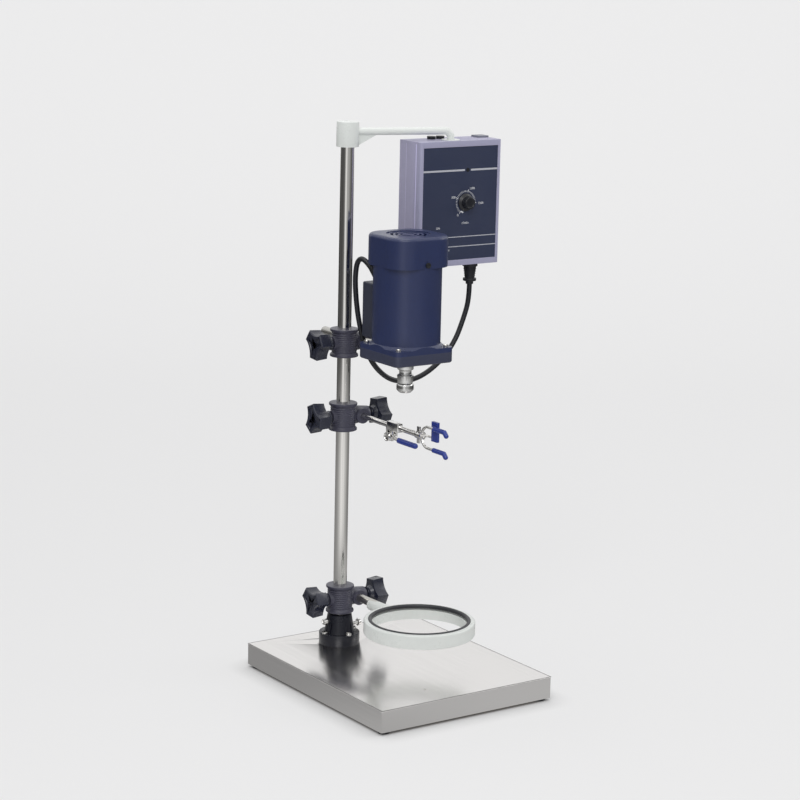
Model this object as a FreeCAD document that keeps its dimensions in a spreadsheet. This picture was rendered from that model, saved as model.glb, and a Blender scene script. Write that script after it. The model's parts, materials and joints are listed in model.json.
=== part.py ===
import FreeCAD, Part
import math
import os
import Sketcher

# Overhead laboratory stirrer: a flat stand with a pole, three clamp bosses on it, the motor
# with its chuck, a speed controller hung from the top, a three finger clamp and a flask ring.
# Millimetres. +Z is up, -Y is the front. The origin is on the table under the base's middle.

doc = FreeCAD.newDocument("OverheadStirrer")
sheet = doc.addObject("Spreadsheet::Sheet", "sizes")


class Size:
    """A number together with the sheet formula that gives it."""

    def __init__(self, number, formula):
        self.number = float(number)
        self.formula = formula

    def __add__(self, other):
        other = as_size(other)
        return Size(self.number + other.number, f"({self.formula} + {other.formula})")

    def __sub__(self, other):
        other = as_size(other)
        return Size(self.number - other.number, f"({self.formula} - {other.formula})")

    def __mul__(self, other):
        other = as_size(other)
        return Size(self.number * other.number, f"{self.formula} * {other.formula}")

    def __truediv__(self, other):
        other = as_size(other)
        return Size(self.number / other.number, f"{self.formula} / {other.formula}")

    def __neg__(self):
        return Size(-self.number, f"(0 - {self.formula})")

    __radd__ = __add__
    __rmul__ = __mul__

    def __rsub__(self, other):
        return as_size(other) - self


def as_size(value):
    """Give a plain number the form of a Size."""
    if isinstance(value, Size):
        return value
    return Size(value, f"({value})")


def cosine(angle):
    """Cosine of an angle in degrees."""
    return Size(math.cos(math.radians(angle.number)), f"cos({angle.formula})")


def sine(angle):
    """Sine of an angle in degrees."""
    return Size(math.sin(math.radians(angle.number)), f"sin({angle.formula})")


rows = []


def size(name, number):
    """Write one driving size into the sheet under its name."""
    rows.append(name)
    row = len(rows)
    sheet.set(f"A{row}", name)
    sheet.set(f"B{row}", str(number))
    sheet.setAlias(f"B{row}", name)
    return Size(number, f"sizes.{name}")


# Clearances
fit = size("fit", 0.05)
running = size("running_gap", 0.3)

# Base: a folded steel pan over a board, on four rubber feet
base_width = size("base_width", 280)
base_depth = size("base_depth", 340)
base_height = size("base_height", 30)
base_corner = size("base_corner", 2.5)
base_edge = size("base_edge", 1.5)
sheet_wall = size("sheet_wall", 1.2)
foot_show = size("foot_show", 4)
board_inset = size("board_inset", 3)
foot_radius = size("foot_radius", 9)
foot_inset = size("foot_inset", 11.5)
foot_recess = size("foot_recess", 2.5)
foot_screw_head = size("foot_screw_head", 4)
foot_screw_shank = size("foot_screw_shank", 2)
foot_screw_length = size("foot_screw_length", 12)

# Pole, its socket and the cap with the hanger arm
pole_x = size("pole_x", -24)
pole_y = size("pole_y", 110.5)
pole_radius = size("pole_radius", 9.5)
pole_wall = size("pole_wall", 1.5)
socket_height = size("socket_height", 43)
socket_floor = size("socket_floor", 6)
socket_flange = size("socket_flange", 28.8)
socket_flange_height = size("socket_flange_height", 16)
socket_foot_radius = size("socket_foot_radius", 21.3)
socket_top_radius = size("socket_top_radius", 17)
socket_groove = size("socket_groove", 2)
socket_groove_height = size("socket_groove_height", 17)
socket_bolt_circle = size("socket_bolt_circle", 24)
socket_bolt_radius = size("socket_bolt_radius", 2.5)
socket_bolt_head = size("socket_bolt_head", 4.25)
socket_bolt_head_height = size("socket_bolt_head_height", 5)
socket_bolt_sink = size("socket_bolt_sink", 3)
socket_bolt_length = size("socket_bolt_length", 34)
set_screw_radius = size("set_screw_radius", 2.5)
set_screw_head = size("set_screw_head", 5)
set_screw_head_height = size("set_screw_head_height", 5)
tight_screw_height = size("tight_screw_height", 33)
loose_screw_height = size("loose_screw_height", 24)
tight_screw_stand = size("tight_screw_stand", 2)
loose_screw_stand = size("loose_screw_stand", 10)
cap_bottom = size("cap_bottom", 738.5)
cap_height = size("cap_height", 34.5)
cap_radius = size("cap_radius", 15.5)
cap_roof = size("cap_roof", 4)
cap_edge = size("cap_edge", 1.2)
arm_radius = size("arm_radius", 5.25)
arm_turn = size("arm_turn", 17.6)
arm_reach = size("arm_reach", 147.4)
arm_bend = size("arm_bend", 9)
arm_drop = size("arm_drop", 14)
gusset_length = size("gusset_length", 29)
gusset_thick = size("gusset_thick", 4)
gusset_foot = size("gusset_foot", 2)
nut_across = size("nut_across", 17)
nut_height = size("nut_height", 6)
washer_radius = size("washer_radius", 13)
washer_thick = size("washer_thick", 1.2)

# Clamp bosses and their knobs
boss_height = size("boss_height", 39)
boss_radius = size("boss_radius", 17.3)
boss_lip_radius = size("boss_lip_radius", 19.8)
boss_lip = size("boss_lip", 3)
boss_lip_slope = size("boss_lip_slope", 2.5)
rod_offset = size("rod_offset", 24)
eye_radius = size("eye_radius", 10.8)
eye_length = size("eye_length", 31)
boss_arm_root = size("boss_arm_root", 15)
boss_arm_tip = size("boss_arm_tip", 10.5)
boss_arm_reach = size("boss_arm_reach", 40)
boss_pad_reach = size("boss_pad_reach", 20.5)
boss_pad_tip = size("boss_pad_tip", 9)
upper_boss_height = size("upper_boss_height", 467.5)
middle_boss_height = size("middle_boss_height", 362.9)
lower_boss_height = size("lower_boss_height", 99.2)
knob_stand = size("knob_stand", 3)
knob_neck_length = size("knob_neck_length", 9)
knob_neck_radius = size("knob_neck_radius", 9.5)
knob_neck_waist = size("knob_neck_waist", 8)
knob_grip_length = size("knob_grip_length", 18)
knob_reach = size("knob_reach", 19)
knob_lobe = size("knob_lobe", 17)
knob_flute = size("knob_flute", 24)
knob_flute_depth = size("knob_flute_depth", 3.2)
knob_flare = size("knob_flare", 5)
knob_turn = size("knob_turn", 55)
middle_knob_turn = size("middle_knob_turn", 22)
knob_edge = size("knob_edge", 1.4)
stud_radius = size("stud_radius", 4)

# Motor unit
motor_y = size("motor_y", -5)
motor_rod_radius = size("motor_rod_radius", 6.5)
motor_rod_rear = size("motor_rod_rear", 198)
motor_rod_dome = size("motor_rod_dome", 2)
motor_rod_tenon = size("motor_rod_tenon", 4)
motor_rod_tenon_length = size("motor_rod_tenon_length", 23)
flange_width = size("flange_width", 94)
flange_corner = size("flange_corner", 8)
plate_height = size("plate_height", 14.5)
plate_chamfer = size("plate_chamfer", 1.5)
flange_height = size("flange_height", 6.5)
housing_radius = size("housing_radius", 46.5)
housing_wall = size("housing_wall", 3)
housing_height = size("housing_height", 115.5)
housing_roof = size("housing_roof", 4)
shoulder_radius = size("shoulder_radius", 50.4)
shoulder_height = size("shoulder_height", 5)
spigot_radius = size("spigot_radius", 43)
spigot_height = size("spigot_height", 10)
corner_screw_place = size("corner_screw_place", 38.5)
screw_head = size("screw_head", 3.6)
screw_head_height = size("screw_head_height", 2.6)
screw_shank = size("screw_shank", 2)
screw_length = size("screw_length", 16)
cover_screw_length = size("cover_screw_length", 5)
cover_screw_height = size("cover_screw_height", 5)
cover_width = size("cover_width", 93)
cover_corner = size("cover_corner", 29)
cover_height = size("cover_height", 42)
cover_wall = size("cover_wall", 2.5)
cover_edge = size("cover_edge", 5)
vent_recess = size("vent_recess", 30)
vent_recess_depth = size("vent_recess_depth", 1.2)
vent_width = size("vent_width", 3.4)
vent_pitch = size("vent_pitch", 6.6)
vent_inner = size("vent_inner", 8)
vent_bridge = size("vent_bridge", 5)
stator_outer = size("stator_outer", 43.4)
stator_inner = size("stator_inner", 27)
stator_height = size("stator_height", 52)
stator_lift = size("stator_lift", 24)
winding_outer = size("winding_outer", 40)
winding_height = size("winding_height", 10)
rotor_radius = size("rotor_radius", 26.4)
shaft_radius = size("shaft_radius", 5)
bearing_radius = size("bearing_radius", 15)
bearing_width = size("bearing_width", 9)
fan_radius = size("fan_radius", 36)
fan_hub_radius = size("fan_hub_radius", 9)
fan_disc = size("fan_disc", 1.6)
fan_blade_height = size("fan_blade_height", 13)
fan_blade_thick = size("fan_blade_thick", 1.6)
fan_gap = size("fan_gap", 4)
run_box_width = size("run_box_width", 64)
run_box_reach = size("run_box_reach", 62)
run_box_height = size("run_box_height", 75)
run_box_corner = size("run_box_corner", 4)
grommet_azimuth = size("grommet_azimuth", 122)
grommet_rise = size("grommet_rise", 50)
grommet_height = size("grommet_height", 98.5)
grommet_length = size("grommet_length", 10)
grommet_root = size("grommet_root", 6.8)
grommet_tip = size("grommet_tip", 5)

# Chuck
chuck_top = size("chuck_top", 4)
chuck_collar_radius = size("chuck_collar_radius", 11.1)
chuck_collar_height = size("chuck_collar_height", 9)
chuck_neck_radius = size("chuck_neck_radius", 8.4)
chuck_neck_height = size("chuck_neck_height", 5)
chuck_neck_slope = size("chuck_neck_slope", 1.5)
chuck_flare_radius = size("chuck_flare_radius", 11.3)
chuck_flare_low = size("chuck_flare_low", 10.4)
chuck_flare_height = size("chuck_flare_height", 12.5)
chuck_thread_radius = size("chuck_thread_radius", 8.8)
chuck_thread_height = size("chuck_thread_height", 9)
chuck_nut_radius = size("chuck_nut_radius", 11.8)
chuck_nut_height = size("chuck_nut_height", 12.5)
chuck_nut_mouth = size("chuck_nut_mouth", 5.3)
chuck_nut_floor = size("chuck_nut_floor", 1.6)
chuck_nut_edge = size("chuck_nut_edge", 4)
collet_radius = size("collet_radius", 6.4)
collet_bore = size("collet_bore", 4)
collet_height = size("collet_height", 15)
collet_slit = size("collet_slit", 1)
collet_slit_height = size("collet_slit_height", 11)
shaft_in_chuck = size("shaft_in_chuck", 16)

# Three finger clamp
clamp_rod_radius = size("clamp_rod_radius", 4)
clamp_rod_rear = size("clamp_rod_rear", 150)
clamp_head_rear = size("clamp_head_rear", 32)
clamp_head_length = size("clamp_head_length", 28)
clamp_head_thick = size("clamp_head_thick", 9)
clamp_head_height = size("clamp_head_height", 12)
clamp_lug_length = size("clamp_lug_length", 15)
clamp_lug_drop = size("clamp_lug_drop", 20)
barrel_radius = size("barrel_radius", 3.9)
barrel_bore = size("barrel_bore", 2)
barrel_end = size("barrel_end", -47)
yoke_radius = size("yoke_radius", 14.5)
yoke_wire = size("yoke_wire", 2)
finger_wire = size("finger_wire", 1.6)
finger_end = size("finger_end", -99)
finger_hook = size("finger_hook", 6)
sleeve_radius = size("sleeve_radius", 3.3)
sleeve_length = size("sleeve_length", 24)
wing_hub_radius = size("wing_hub_radius", 5.2)
wing_hub_length = size("wing_hub_length", 8)
wing_span = size("wing_span", 23)
wing_thick = size("wing_thick", 2.6)
wing_place = size("wing_place", -36)
tail_rear = size("tail_rear", 8)
tail_front = size("tail_front", -52)
pad_side = size("pad_side", 6.2)
pad_rear = size("pad_rear", -62.5)
pad_length = size("pad_length", 14.5)
pad_thick = size("pad_thick", 4.6)
pad_corner = size("pad_corner", 1.5)
pad_grip = size("pad_grip", 6)
pad_low = size("pad_low", -4.5)
pad_height = size("pad_height", 27)
lever_pivot_y = size("lever_pivot_y", 22)
lever_pivot_drop = size("lever_pivot_drop", 14)
lever_pin = size("lever_pin", 2.5)
lever_eye = size("lever_eye", 5)
lever_thick = size("lever_thick", 3)
lever_rod = size("lever_rod", 2)
lever_web = size("lever_web", 3.2)
lever_drop = size("lever_drop", 17.5)
lever_knee = size("lever_knee", 7)
lever_end = size("lever_end", -36)
lever_sleeve = size("lever_sleeve", 3.9)
thumb_radius = size("thumb_radius", 6)
thumb_length = size("thumb_length", 6)

# Flask ring
ring_y = size("ring_y", -52)
ring_outer = size("ring_outer", 76.5)
ring_inner = size("ring_inner", 66.5)
ring_height = size("ring_height", 20)
ring_edge = size("ring_edge", 2.5)
ring_rod_radius = size("ring_rod_radius", 6)
ring_rod_rear = size("ring_rod_rear", 150)
ring_above_rod = size("ring_above_rod", 7)
ring_neck_end = size("ring_neck_end", 66)
ring_neck_tip = size("ring_neck_tip", 8)
ring_neck_root = size("ring_neck_root", 9.5)
ring_socket_depth = size("ring_socket_depth", 24)
gasket_outer = size("gasket_outer", 69.7)
gasket_inner = size("gasket_inner", 66.6)
gasket_height = size("gasket_height", 6.4)

# Speed controller, hung from the arm
box_width = size("box_width", 137)
box_depth = size("box_depth", 52)
box_height = size("box_height", 173)
box_corner = size("box_corner", 2.5)
box_wall = size("box_wall", 2)
box_left_of_arm = size("box_left_of_arm", 61)
box_front_of_arm = size("box_front_of_arm", 16)
box_hang = size("box_hang", 2.05)
bezel_depth = size("bezel_depth", 9)
bezel_side = size("bezel_side", 5.5)
bezel_end = size("bezel_end", 8)
panel_thick = size("panel_thick", 1.5)
panel_sink = size("panel_sink", 0.8)
case_step = size("case_step", 1)
case_step_depth = size("case_step_depth", 18)
case_groove = size("case_groove", 0.8)
case_groove_width = size("case_groove_width", 4.5)
case_screw_inset = size("case_screw_inset", 9)
pillar_radius = size("pillar_radius", 4)
dial_right = size("dial_right", 78.5)
dial_up = size("dial_up", 87.5)
dial_skirt = size("dial_skirt", 12.5)
dial_skirt_thick = size("dial_skirt_thick", 2.5)
dial_radius = size("dial_radius", 8.8)
dial_height = size("dial_height", 12)
dial_gap = size("dial_gap", 0.5)
pot_shaft = size("pot_shaft", 3)
pot_bushing = size("pot_bushing", 4.5)
pot_body = size("pot_body", 9)
pot_depth = size("pot_depth", 10)
switch_right = size("switch_right", 28)
switch_up = size("switch_up", 32)
switch_width = size("switch_width", 15)
switch_height = size("switch_height", 23)
switch_frame = size("switch_frame", 1.6)
switch_frame_lift = size("switch_frame_lift", 1.2)
switch_body_depth = size("switch_body_depth", 16)
rocker_radius = size("rocker_radius", 9.2)
rocker_pivot_depth = size("rocker_pivot_depth", 3)
rocker_rise = size("rocker_rise", 4)
rocker_pin = size("rocker_pin", 1.5)
outlet_right = size("outlet_right", 104.5)
outlet_back = size("outlet_back", 22)
outlet_radius = size("outlet_radius", 10.8)
outlet_height = size("outlet_height", 6)
outlet_body = size("outlet_body", 8.5)
outlet_body_depth = size("outlet_body_depth", 14)
plug_top = size("plug_top", 9)
plug_low = size("plug_low", 6.8)
plug_length = size("plug_length", 17)
plug_ring = size("plug_ring", 9.4)
plug_ring_height = size("plug_ring_height", 4)
plug_tail = size("plug_tail", 5.4)
plug_tail_length = size("plug_tail_length", 4.5)
cord_radius = size("cord_radius", 3.6)
fuse_right = size("fuse_right", 44)
fuse_pitch = size("fuse_pitch", 15)
fuse_back = size("fuse_back", 38)
fuse_radius = size("fuse_radius", 6)
fuse_lift = size("fuse_lift", 4)
fuse_body = size("fuse_body", 5)
fuse_depth = size("fuse_depth", 24)
inlet_width = size("inlet_width", 31)
inlet_height = size("inlet_height", 24)
inlet_right = size("inlet_right", 40)
inlet_up = size("inlet_up", 30)
inlet_lip = size("inlet_lip", 2)
inlet_depth = size("inlet_depth", 16)
board_width = size("circuit_width", 104)
board_height = size("circuit_height", 96)
board_gap = size("circuit_gap", 4)
board_thick = size("circuit_thick", 1.6)
board_stand = size("circuit_stand", 8)

doc.recompute()

# Levels worked out from the sizes above
base_top = foot_show + base_height
board_bottom = foot_show + board_inset
board_top = base_top - sheet_wall
socket_top = base_top + socket_height
cap_top = cap_bottom + cap_height
rod_x = pole_x + rod_offset
arm_height = cap_top - arm_drop
arm_end_x = pole_x + arm_reach * cosine(arm_turn)
arm_end_y = pole_y - arm_reach * sine(arm_turn)
plate_bottom = upper_boss_height - plate_height / 2
plate_top = upper_boss_height + plate_height / 2
flange_top = plate_top + flange_height
housing_top = plate_top + housing_height
cover_top = housing_top + cover_height
box_left = arm_end_x - box_left_of_arm
box_front = arm_end_y - box_front_of_arm
box_back = box_front + box_depth
box_top = arm_height - arm_radius - box_hang - washer_thick - arm_bend / 2
box_bottom = box_top - box_height

pieces = []

UPRIGHT = FreeCAD.Rotation()
TURNS = {
    "z": UPRIGHT,
    "-z": FreeCAD.Rotation(FreeCAD.Vector(1, 0, 0), 180),
    "x": FreeCAD.Rotation(FreeCAD.Vector(0, 1, 0), 90),
    "-x": FreeCAD.Rotation(FreeCAD.Vector(0, 1, 0), -90),
    "y": FreeCAD.Rotation(FreeCAD.Vector(1, 0, 0), -90),
    "-y": FreeCAD.Rotation(FreeCAD.Vector(1, 0, 0), 90),
    "hook": FreeCAD.Rotation(FreeCAD.Vector(1, 0, 0), 135),
}


def bind(thing, prop, amount):
    """Tie a property to the formula of a size."""
    thing.setExpression(prop, as_size(amount).formula)


def place(thing, x, y, z, turn=UPRIGHT):
    """Put a thing at a place, turned by a fixed rotation."""
    thing.Placement = FreeCAD.Placement(FreeCAD.Vector(0, 0, 0), turn)
    bind(thing, "Placement.Base.x", x)
    bind(thing, "Placement.Base.y", y)
    bind(thing, "Placement.Base.z", z)


def piece(thing, label):
    """Register a finished sub-part under the name of its node."""
    thing.Label = label
    pieces.append(thing)
    return thing


def cylinder(radius, height, x=0, y=0, z=0, axis="z"):
    thing = doc.addObject("Part::Cylinder", "Cylinder")
    bind(thing, "Radius", radius)
    bind(thing, "Height", height)
    place(thing, x, y, z, TURNS[axis])
    return thing


def cone(start_radius, end_radius, height, x=0, y=0, z=0, axis="z"):
    thing = doc.addObject("Part::Cone", "Cone")
    bind(thing, "Radius1", start_radius)
    bind(thing, "Radius2", end_radius)
    bind(thing, "Height", height)
    place(thing, x, y, z, TURNS[axis])
    return thing


def block(width, depth, height, x, y, z):
    """A box from its low corner."""
    thing = doc.addObject("Part::Box", "Block")
    bind(thing, "Length", width)
    bind(thing, "Width", depth)
    bind(thing, "Height", height)
    place(thing, x, y, z)
    return thing


def sphere(radius, x, y, z):
    thing = doc.addObject("Part::Sphere", "Sphere")
    bind(thing, "Radius", radius)
    place(thing, x, y, z)
    return thing


def joined(*parts):
    thing = doc.addObject("Part::MultiFuse", "Joined")
    thing.Shapes = list(parts)
    return thing


def without(base, *tools):
    thing = doc.addObject("Part::Cut", "Cut")
    thing.Base = base
    thing.Tool = tools[0] if len(tools) == 1 else joined(*tools)
    return thing


def shared(first, second):
    thing = doc.addObject("Part::MultiCommon", "Shared")
    thing.Shapes = [first, second]
    return thing


def new_body(name):
    return doc.addObject("PartDesign::Body", name)


def new_sketch(body, role="XY_Plane", lift=0):
    """A sketch on one of the body's own planes, lifted along its normal."""
    plane = next(item for item in body.Origin.OriginFeatures if item.Role == role)
    sketch = body.newObject("Sketcher::SketchObject", "Sketch")
    sketch.AttachmentSupport = (plane, [""])
    sketch.MapMode = "FlatFace"
    bind(sketch, "AttachmentOffset.Base.z", lift)
    return sketch


def hold(sketch, kind, index, point, amount):
    """Tie one coordinate of a sketch point to a size."""
    amount = as_size(amount)
    if amount.number == 0:
        axis = -2 if kind == "DistanceX" else -1
        sketch.addConstraint(Sketcher.Constraint("PointOnObject", index, point, axis))
        return
    number = sketch.addConstraint(Sketcher.Constraint(kind, -1, 1, index, point, amount.number))
    bind(sketch, f"Constraints[{number}]", amount)


def outline(sketch, corners):
    """A closed outline of straight lines through the corners."""
    spots = [FreeCAD.Vector(as_size(x).number, as_size(y).number, 0) for x, y in corners]
    first = sketch.GeometryCount
    count = len(spots)
    for index in range(count):
        line = Part.LineSegment(spots[index], spots[(index + 1) % count])
        sketch.addGeometry(line, False)
    for index in range(count):
        following = first + (index + 1) % count
        sketch.addConstraint(Sketcher.Constraint("Coincident", first + index, 2, following, 1))
    for index, (x, y) in enumerate(corners):
        hold(sketch, "DistanceX", first + index, 1, x)
        hold(sketch, "DistanceY", first + index, 1, y)


def ring_mark(sketch, x, y, radius):
    """A circle in a sketch."""
    centre = FreeCAD.Vector(as_size(x).number, as_size(y).number, 0)
    circle = Part.Circle(centre, FreeCAD.Vector(0, 0, 1), as_size(radius).number)
    index = sketch.addGeometry(circle, False)
    hold(sketch, "DistanceX", index, 3, x)
    hold(sketch, "DistanceY", index, 3, y)
    number = sketch.addConstraint(Sketcher.Constraint("Radius", index, as_size(radius).number))
    bind(sketch, f"Constraints[{number}]", radius)


def extrude(body, kind, sketch, length, reverse=False):
    """A pad or a pocket of a sketch."""
    feature = body.newObject(f"PartDesign::{kind}", kind)
    feature.Profile = sketch
    bind(feature, "Length", length)
    feature.Reversed = reverse
    doc.recompute()
    return feature


def revolved(name, corners, x=0, y=0, z=0, axis="z"):
    """A body turned about its own Z axis from a profile of radius and height."""
    body = new_body(name)
    sketch = new_sketch(body, "XZ_Plane")
    outline(sketch, corners)
    feature = body.newObject("PartDesign::Revolution", "Revolution")
    feature.Profile = sketch
    feature.ReferenceAxis = (sketch, ["V_Axis"])
    feature.Angle = 360
    place(body, x, y, z, TURNS[axis])
    doc.recompute()
    return body


def dress(body, kind, amount, chosen):
    """Fillet or chamfer the edges that a test picks."""
    doc.recompute()
    tip = body.Tip
    names = [f"Edge{index + 1}" for index, edge in enumerate(tip.Shape.Edges) if chosen(edge)]
    feature = body.newObject(f"PartDesign::{kind}", kind)
    feature.Base = (tip, names)
    bind(feature, "Radius" if kind == "Fillet" else "Size", amount)
    doc.recompute()
    return feature


def polar(body, feature, count):
    """Repeat a feature round the body's own Z axis."""
    pattern = body.newObject("PartDesign::PolarPattern", "Pattern")
    pattern.Originals = [feature]
    axis = next(item for item in body.Origin.OriginFeatures if item.Role == "Z_Axis")
    pattern.Axis = (axis, [""])
    pattern.Angle = 360
    pattern.Occurrences = count
    body.Tip = pattern
    doc.recompute()
    return pattern


def is_upright(edge):
    box = edge.BoundBox
    return box.XLength < 1e-6 and box.YLength < 1e-6


def at_level(level):
    """A test for edges that lie flat at one height of the body's own frame."""
    height = as_size(level).number

    def test(edge):
        return abs(edge.BoundBox.ZMin - height) < 1e-4 and abs(edge.BoundBox.ZMax - height) < 1e-4

    return test


def rounded_block(name, width, depth, height, corner, x, y, z, top=None):
    """A block centred on x and y, with rounded upright edges and, if asked, a soft top edge."""
    body = new_body(name)
    sketch = new_sketch(body)
    half_width = as_size(width) / 2
    half_depth = as_size(depth) / 2
    outline(sketch, [(-half_width, -half_depth), (half_width, -half_depth),
                     (half_width, half_depth), (-half_width, half_depth)])
    extrude(body, "Pad", sketch, height)
    dress(body, "Fillet", corner, is_upright)
    if top is not None:
        dress(body, "Fillet", top, at_level(height))
    place(body, x, y, z)
    return body


SIGNS = [(-1, -1), (1, -1), (1, 1), (-1, 1)]
COMPASS = [(1, 0), (0, 1), (-1, 0), (0, -1)]
HALF_ROOT_THREE = math.sqrt(3) / 2


def base():
    """Folded steel pan, the board under it, four rubber feet and their screws."""
    pan = rounded_block("Pan", base_width, base_depth, base_height, base_corner, 0, 0,
                        foot_show, base_edge)
    inside = rounded_block("PanInside", base_width - sheet_wall * 2, base_depth - sheet_wall * 2,
                           base_height - sheet_wall, base_corner - sheet_wall, 0, 0, foot_show)
    bolt_spots = [(pole_x + socket_bolt_circle * i, pole_y + socket_bolt_circle * j)
                  for i, j in COMPASS]
    bolt_holes = [cylinder(socket_bolt_radius + fit, base_height, i, j, foot_show + sheet_wall)
                  for i, j in bolt_spots]
    piece(without(pan, inside, *bolt_holes), "base_cover")

    foot_x = base_width / 2 - foot_inset
    foot_y = base_depth / 2 - foot_inset
    board = rounded_block("Board", base_width - sheet_wall * 2 - fit * 2,
                          base_depth - sheet_wall * 2 - fit * 2, board_top - board_bottom,
                          base_corner - sheet_wall, 0, 0, board_bottom)
    bolt_end = base_top + socket_flange_height - socket_bolt_sink - socket_bolt_length
    board_holes = [cylinder(socket_bolt_radius + fit, base_height, i, j, bolt_end)
                   for i, j in bolt_spots]
    screw_holes = [cylinder(foot_screw_shank + fit, foot_screw_length, i * foot_x, j * foot_y,
                            board_bottom) for i, j in SIGNS]
    piece(without(board, *board_holes, *screw_holes), "base_board")

    feet = joined(*[cone(foot_radius - 1, foot_radius, board_bottom, i * foot_x, j * foot_y, 0)
                    for i, j in SIGNS])
    recesses = [cylinder(foot_screw_head + fit, foot_recess, i * foot_x, j * foot_y, 0)
                for i, j in SIGNS]
    shanks = [cylinder(foot_screw_shank + fit, board_bottom, i * foot_x, j * foot_y, 0)
              for i, j in SIGNS]
    piece(without(feet, *recesses, *shanks), "rubber_feet")

    head_height = foot_recess - foot_recess / 4
    heads = [cylinder(foot_screw_head, head_height, i * foot_x, j * foot_y, foot_recess / 4)
             for i, j in SIGNS]
    stems = [cylinder(foot_screw_shank, board_bottom - foot_recess + foot_screw_length,
                      i * foot_x, j * foot_y, foot_recess) for i, j in SIGNS]
    piece(joined(*heads, *stems), "foot_screws")


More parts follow.
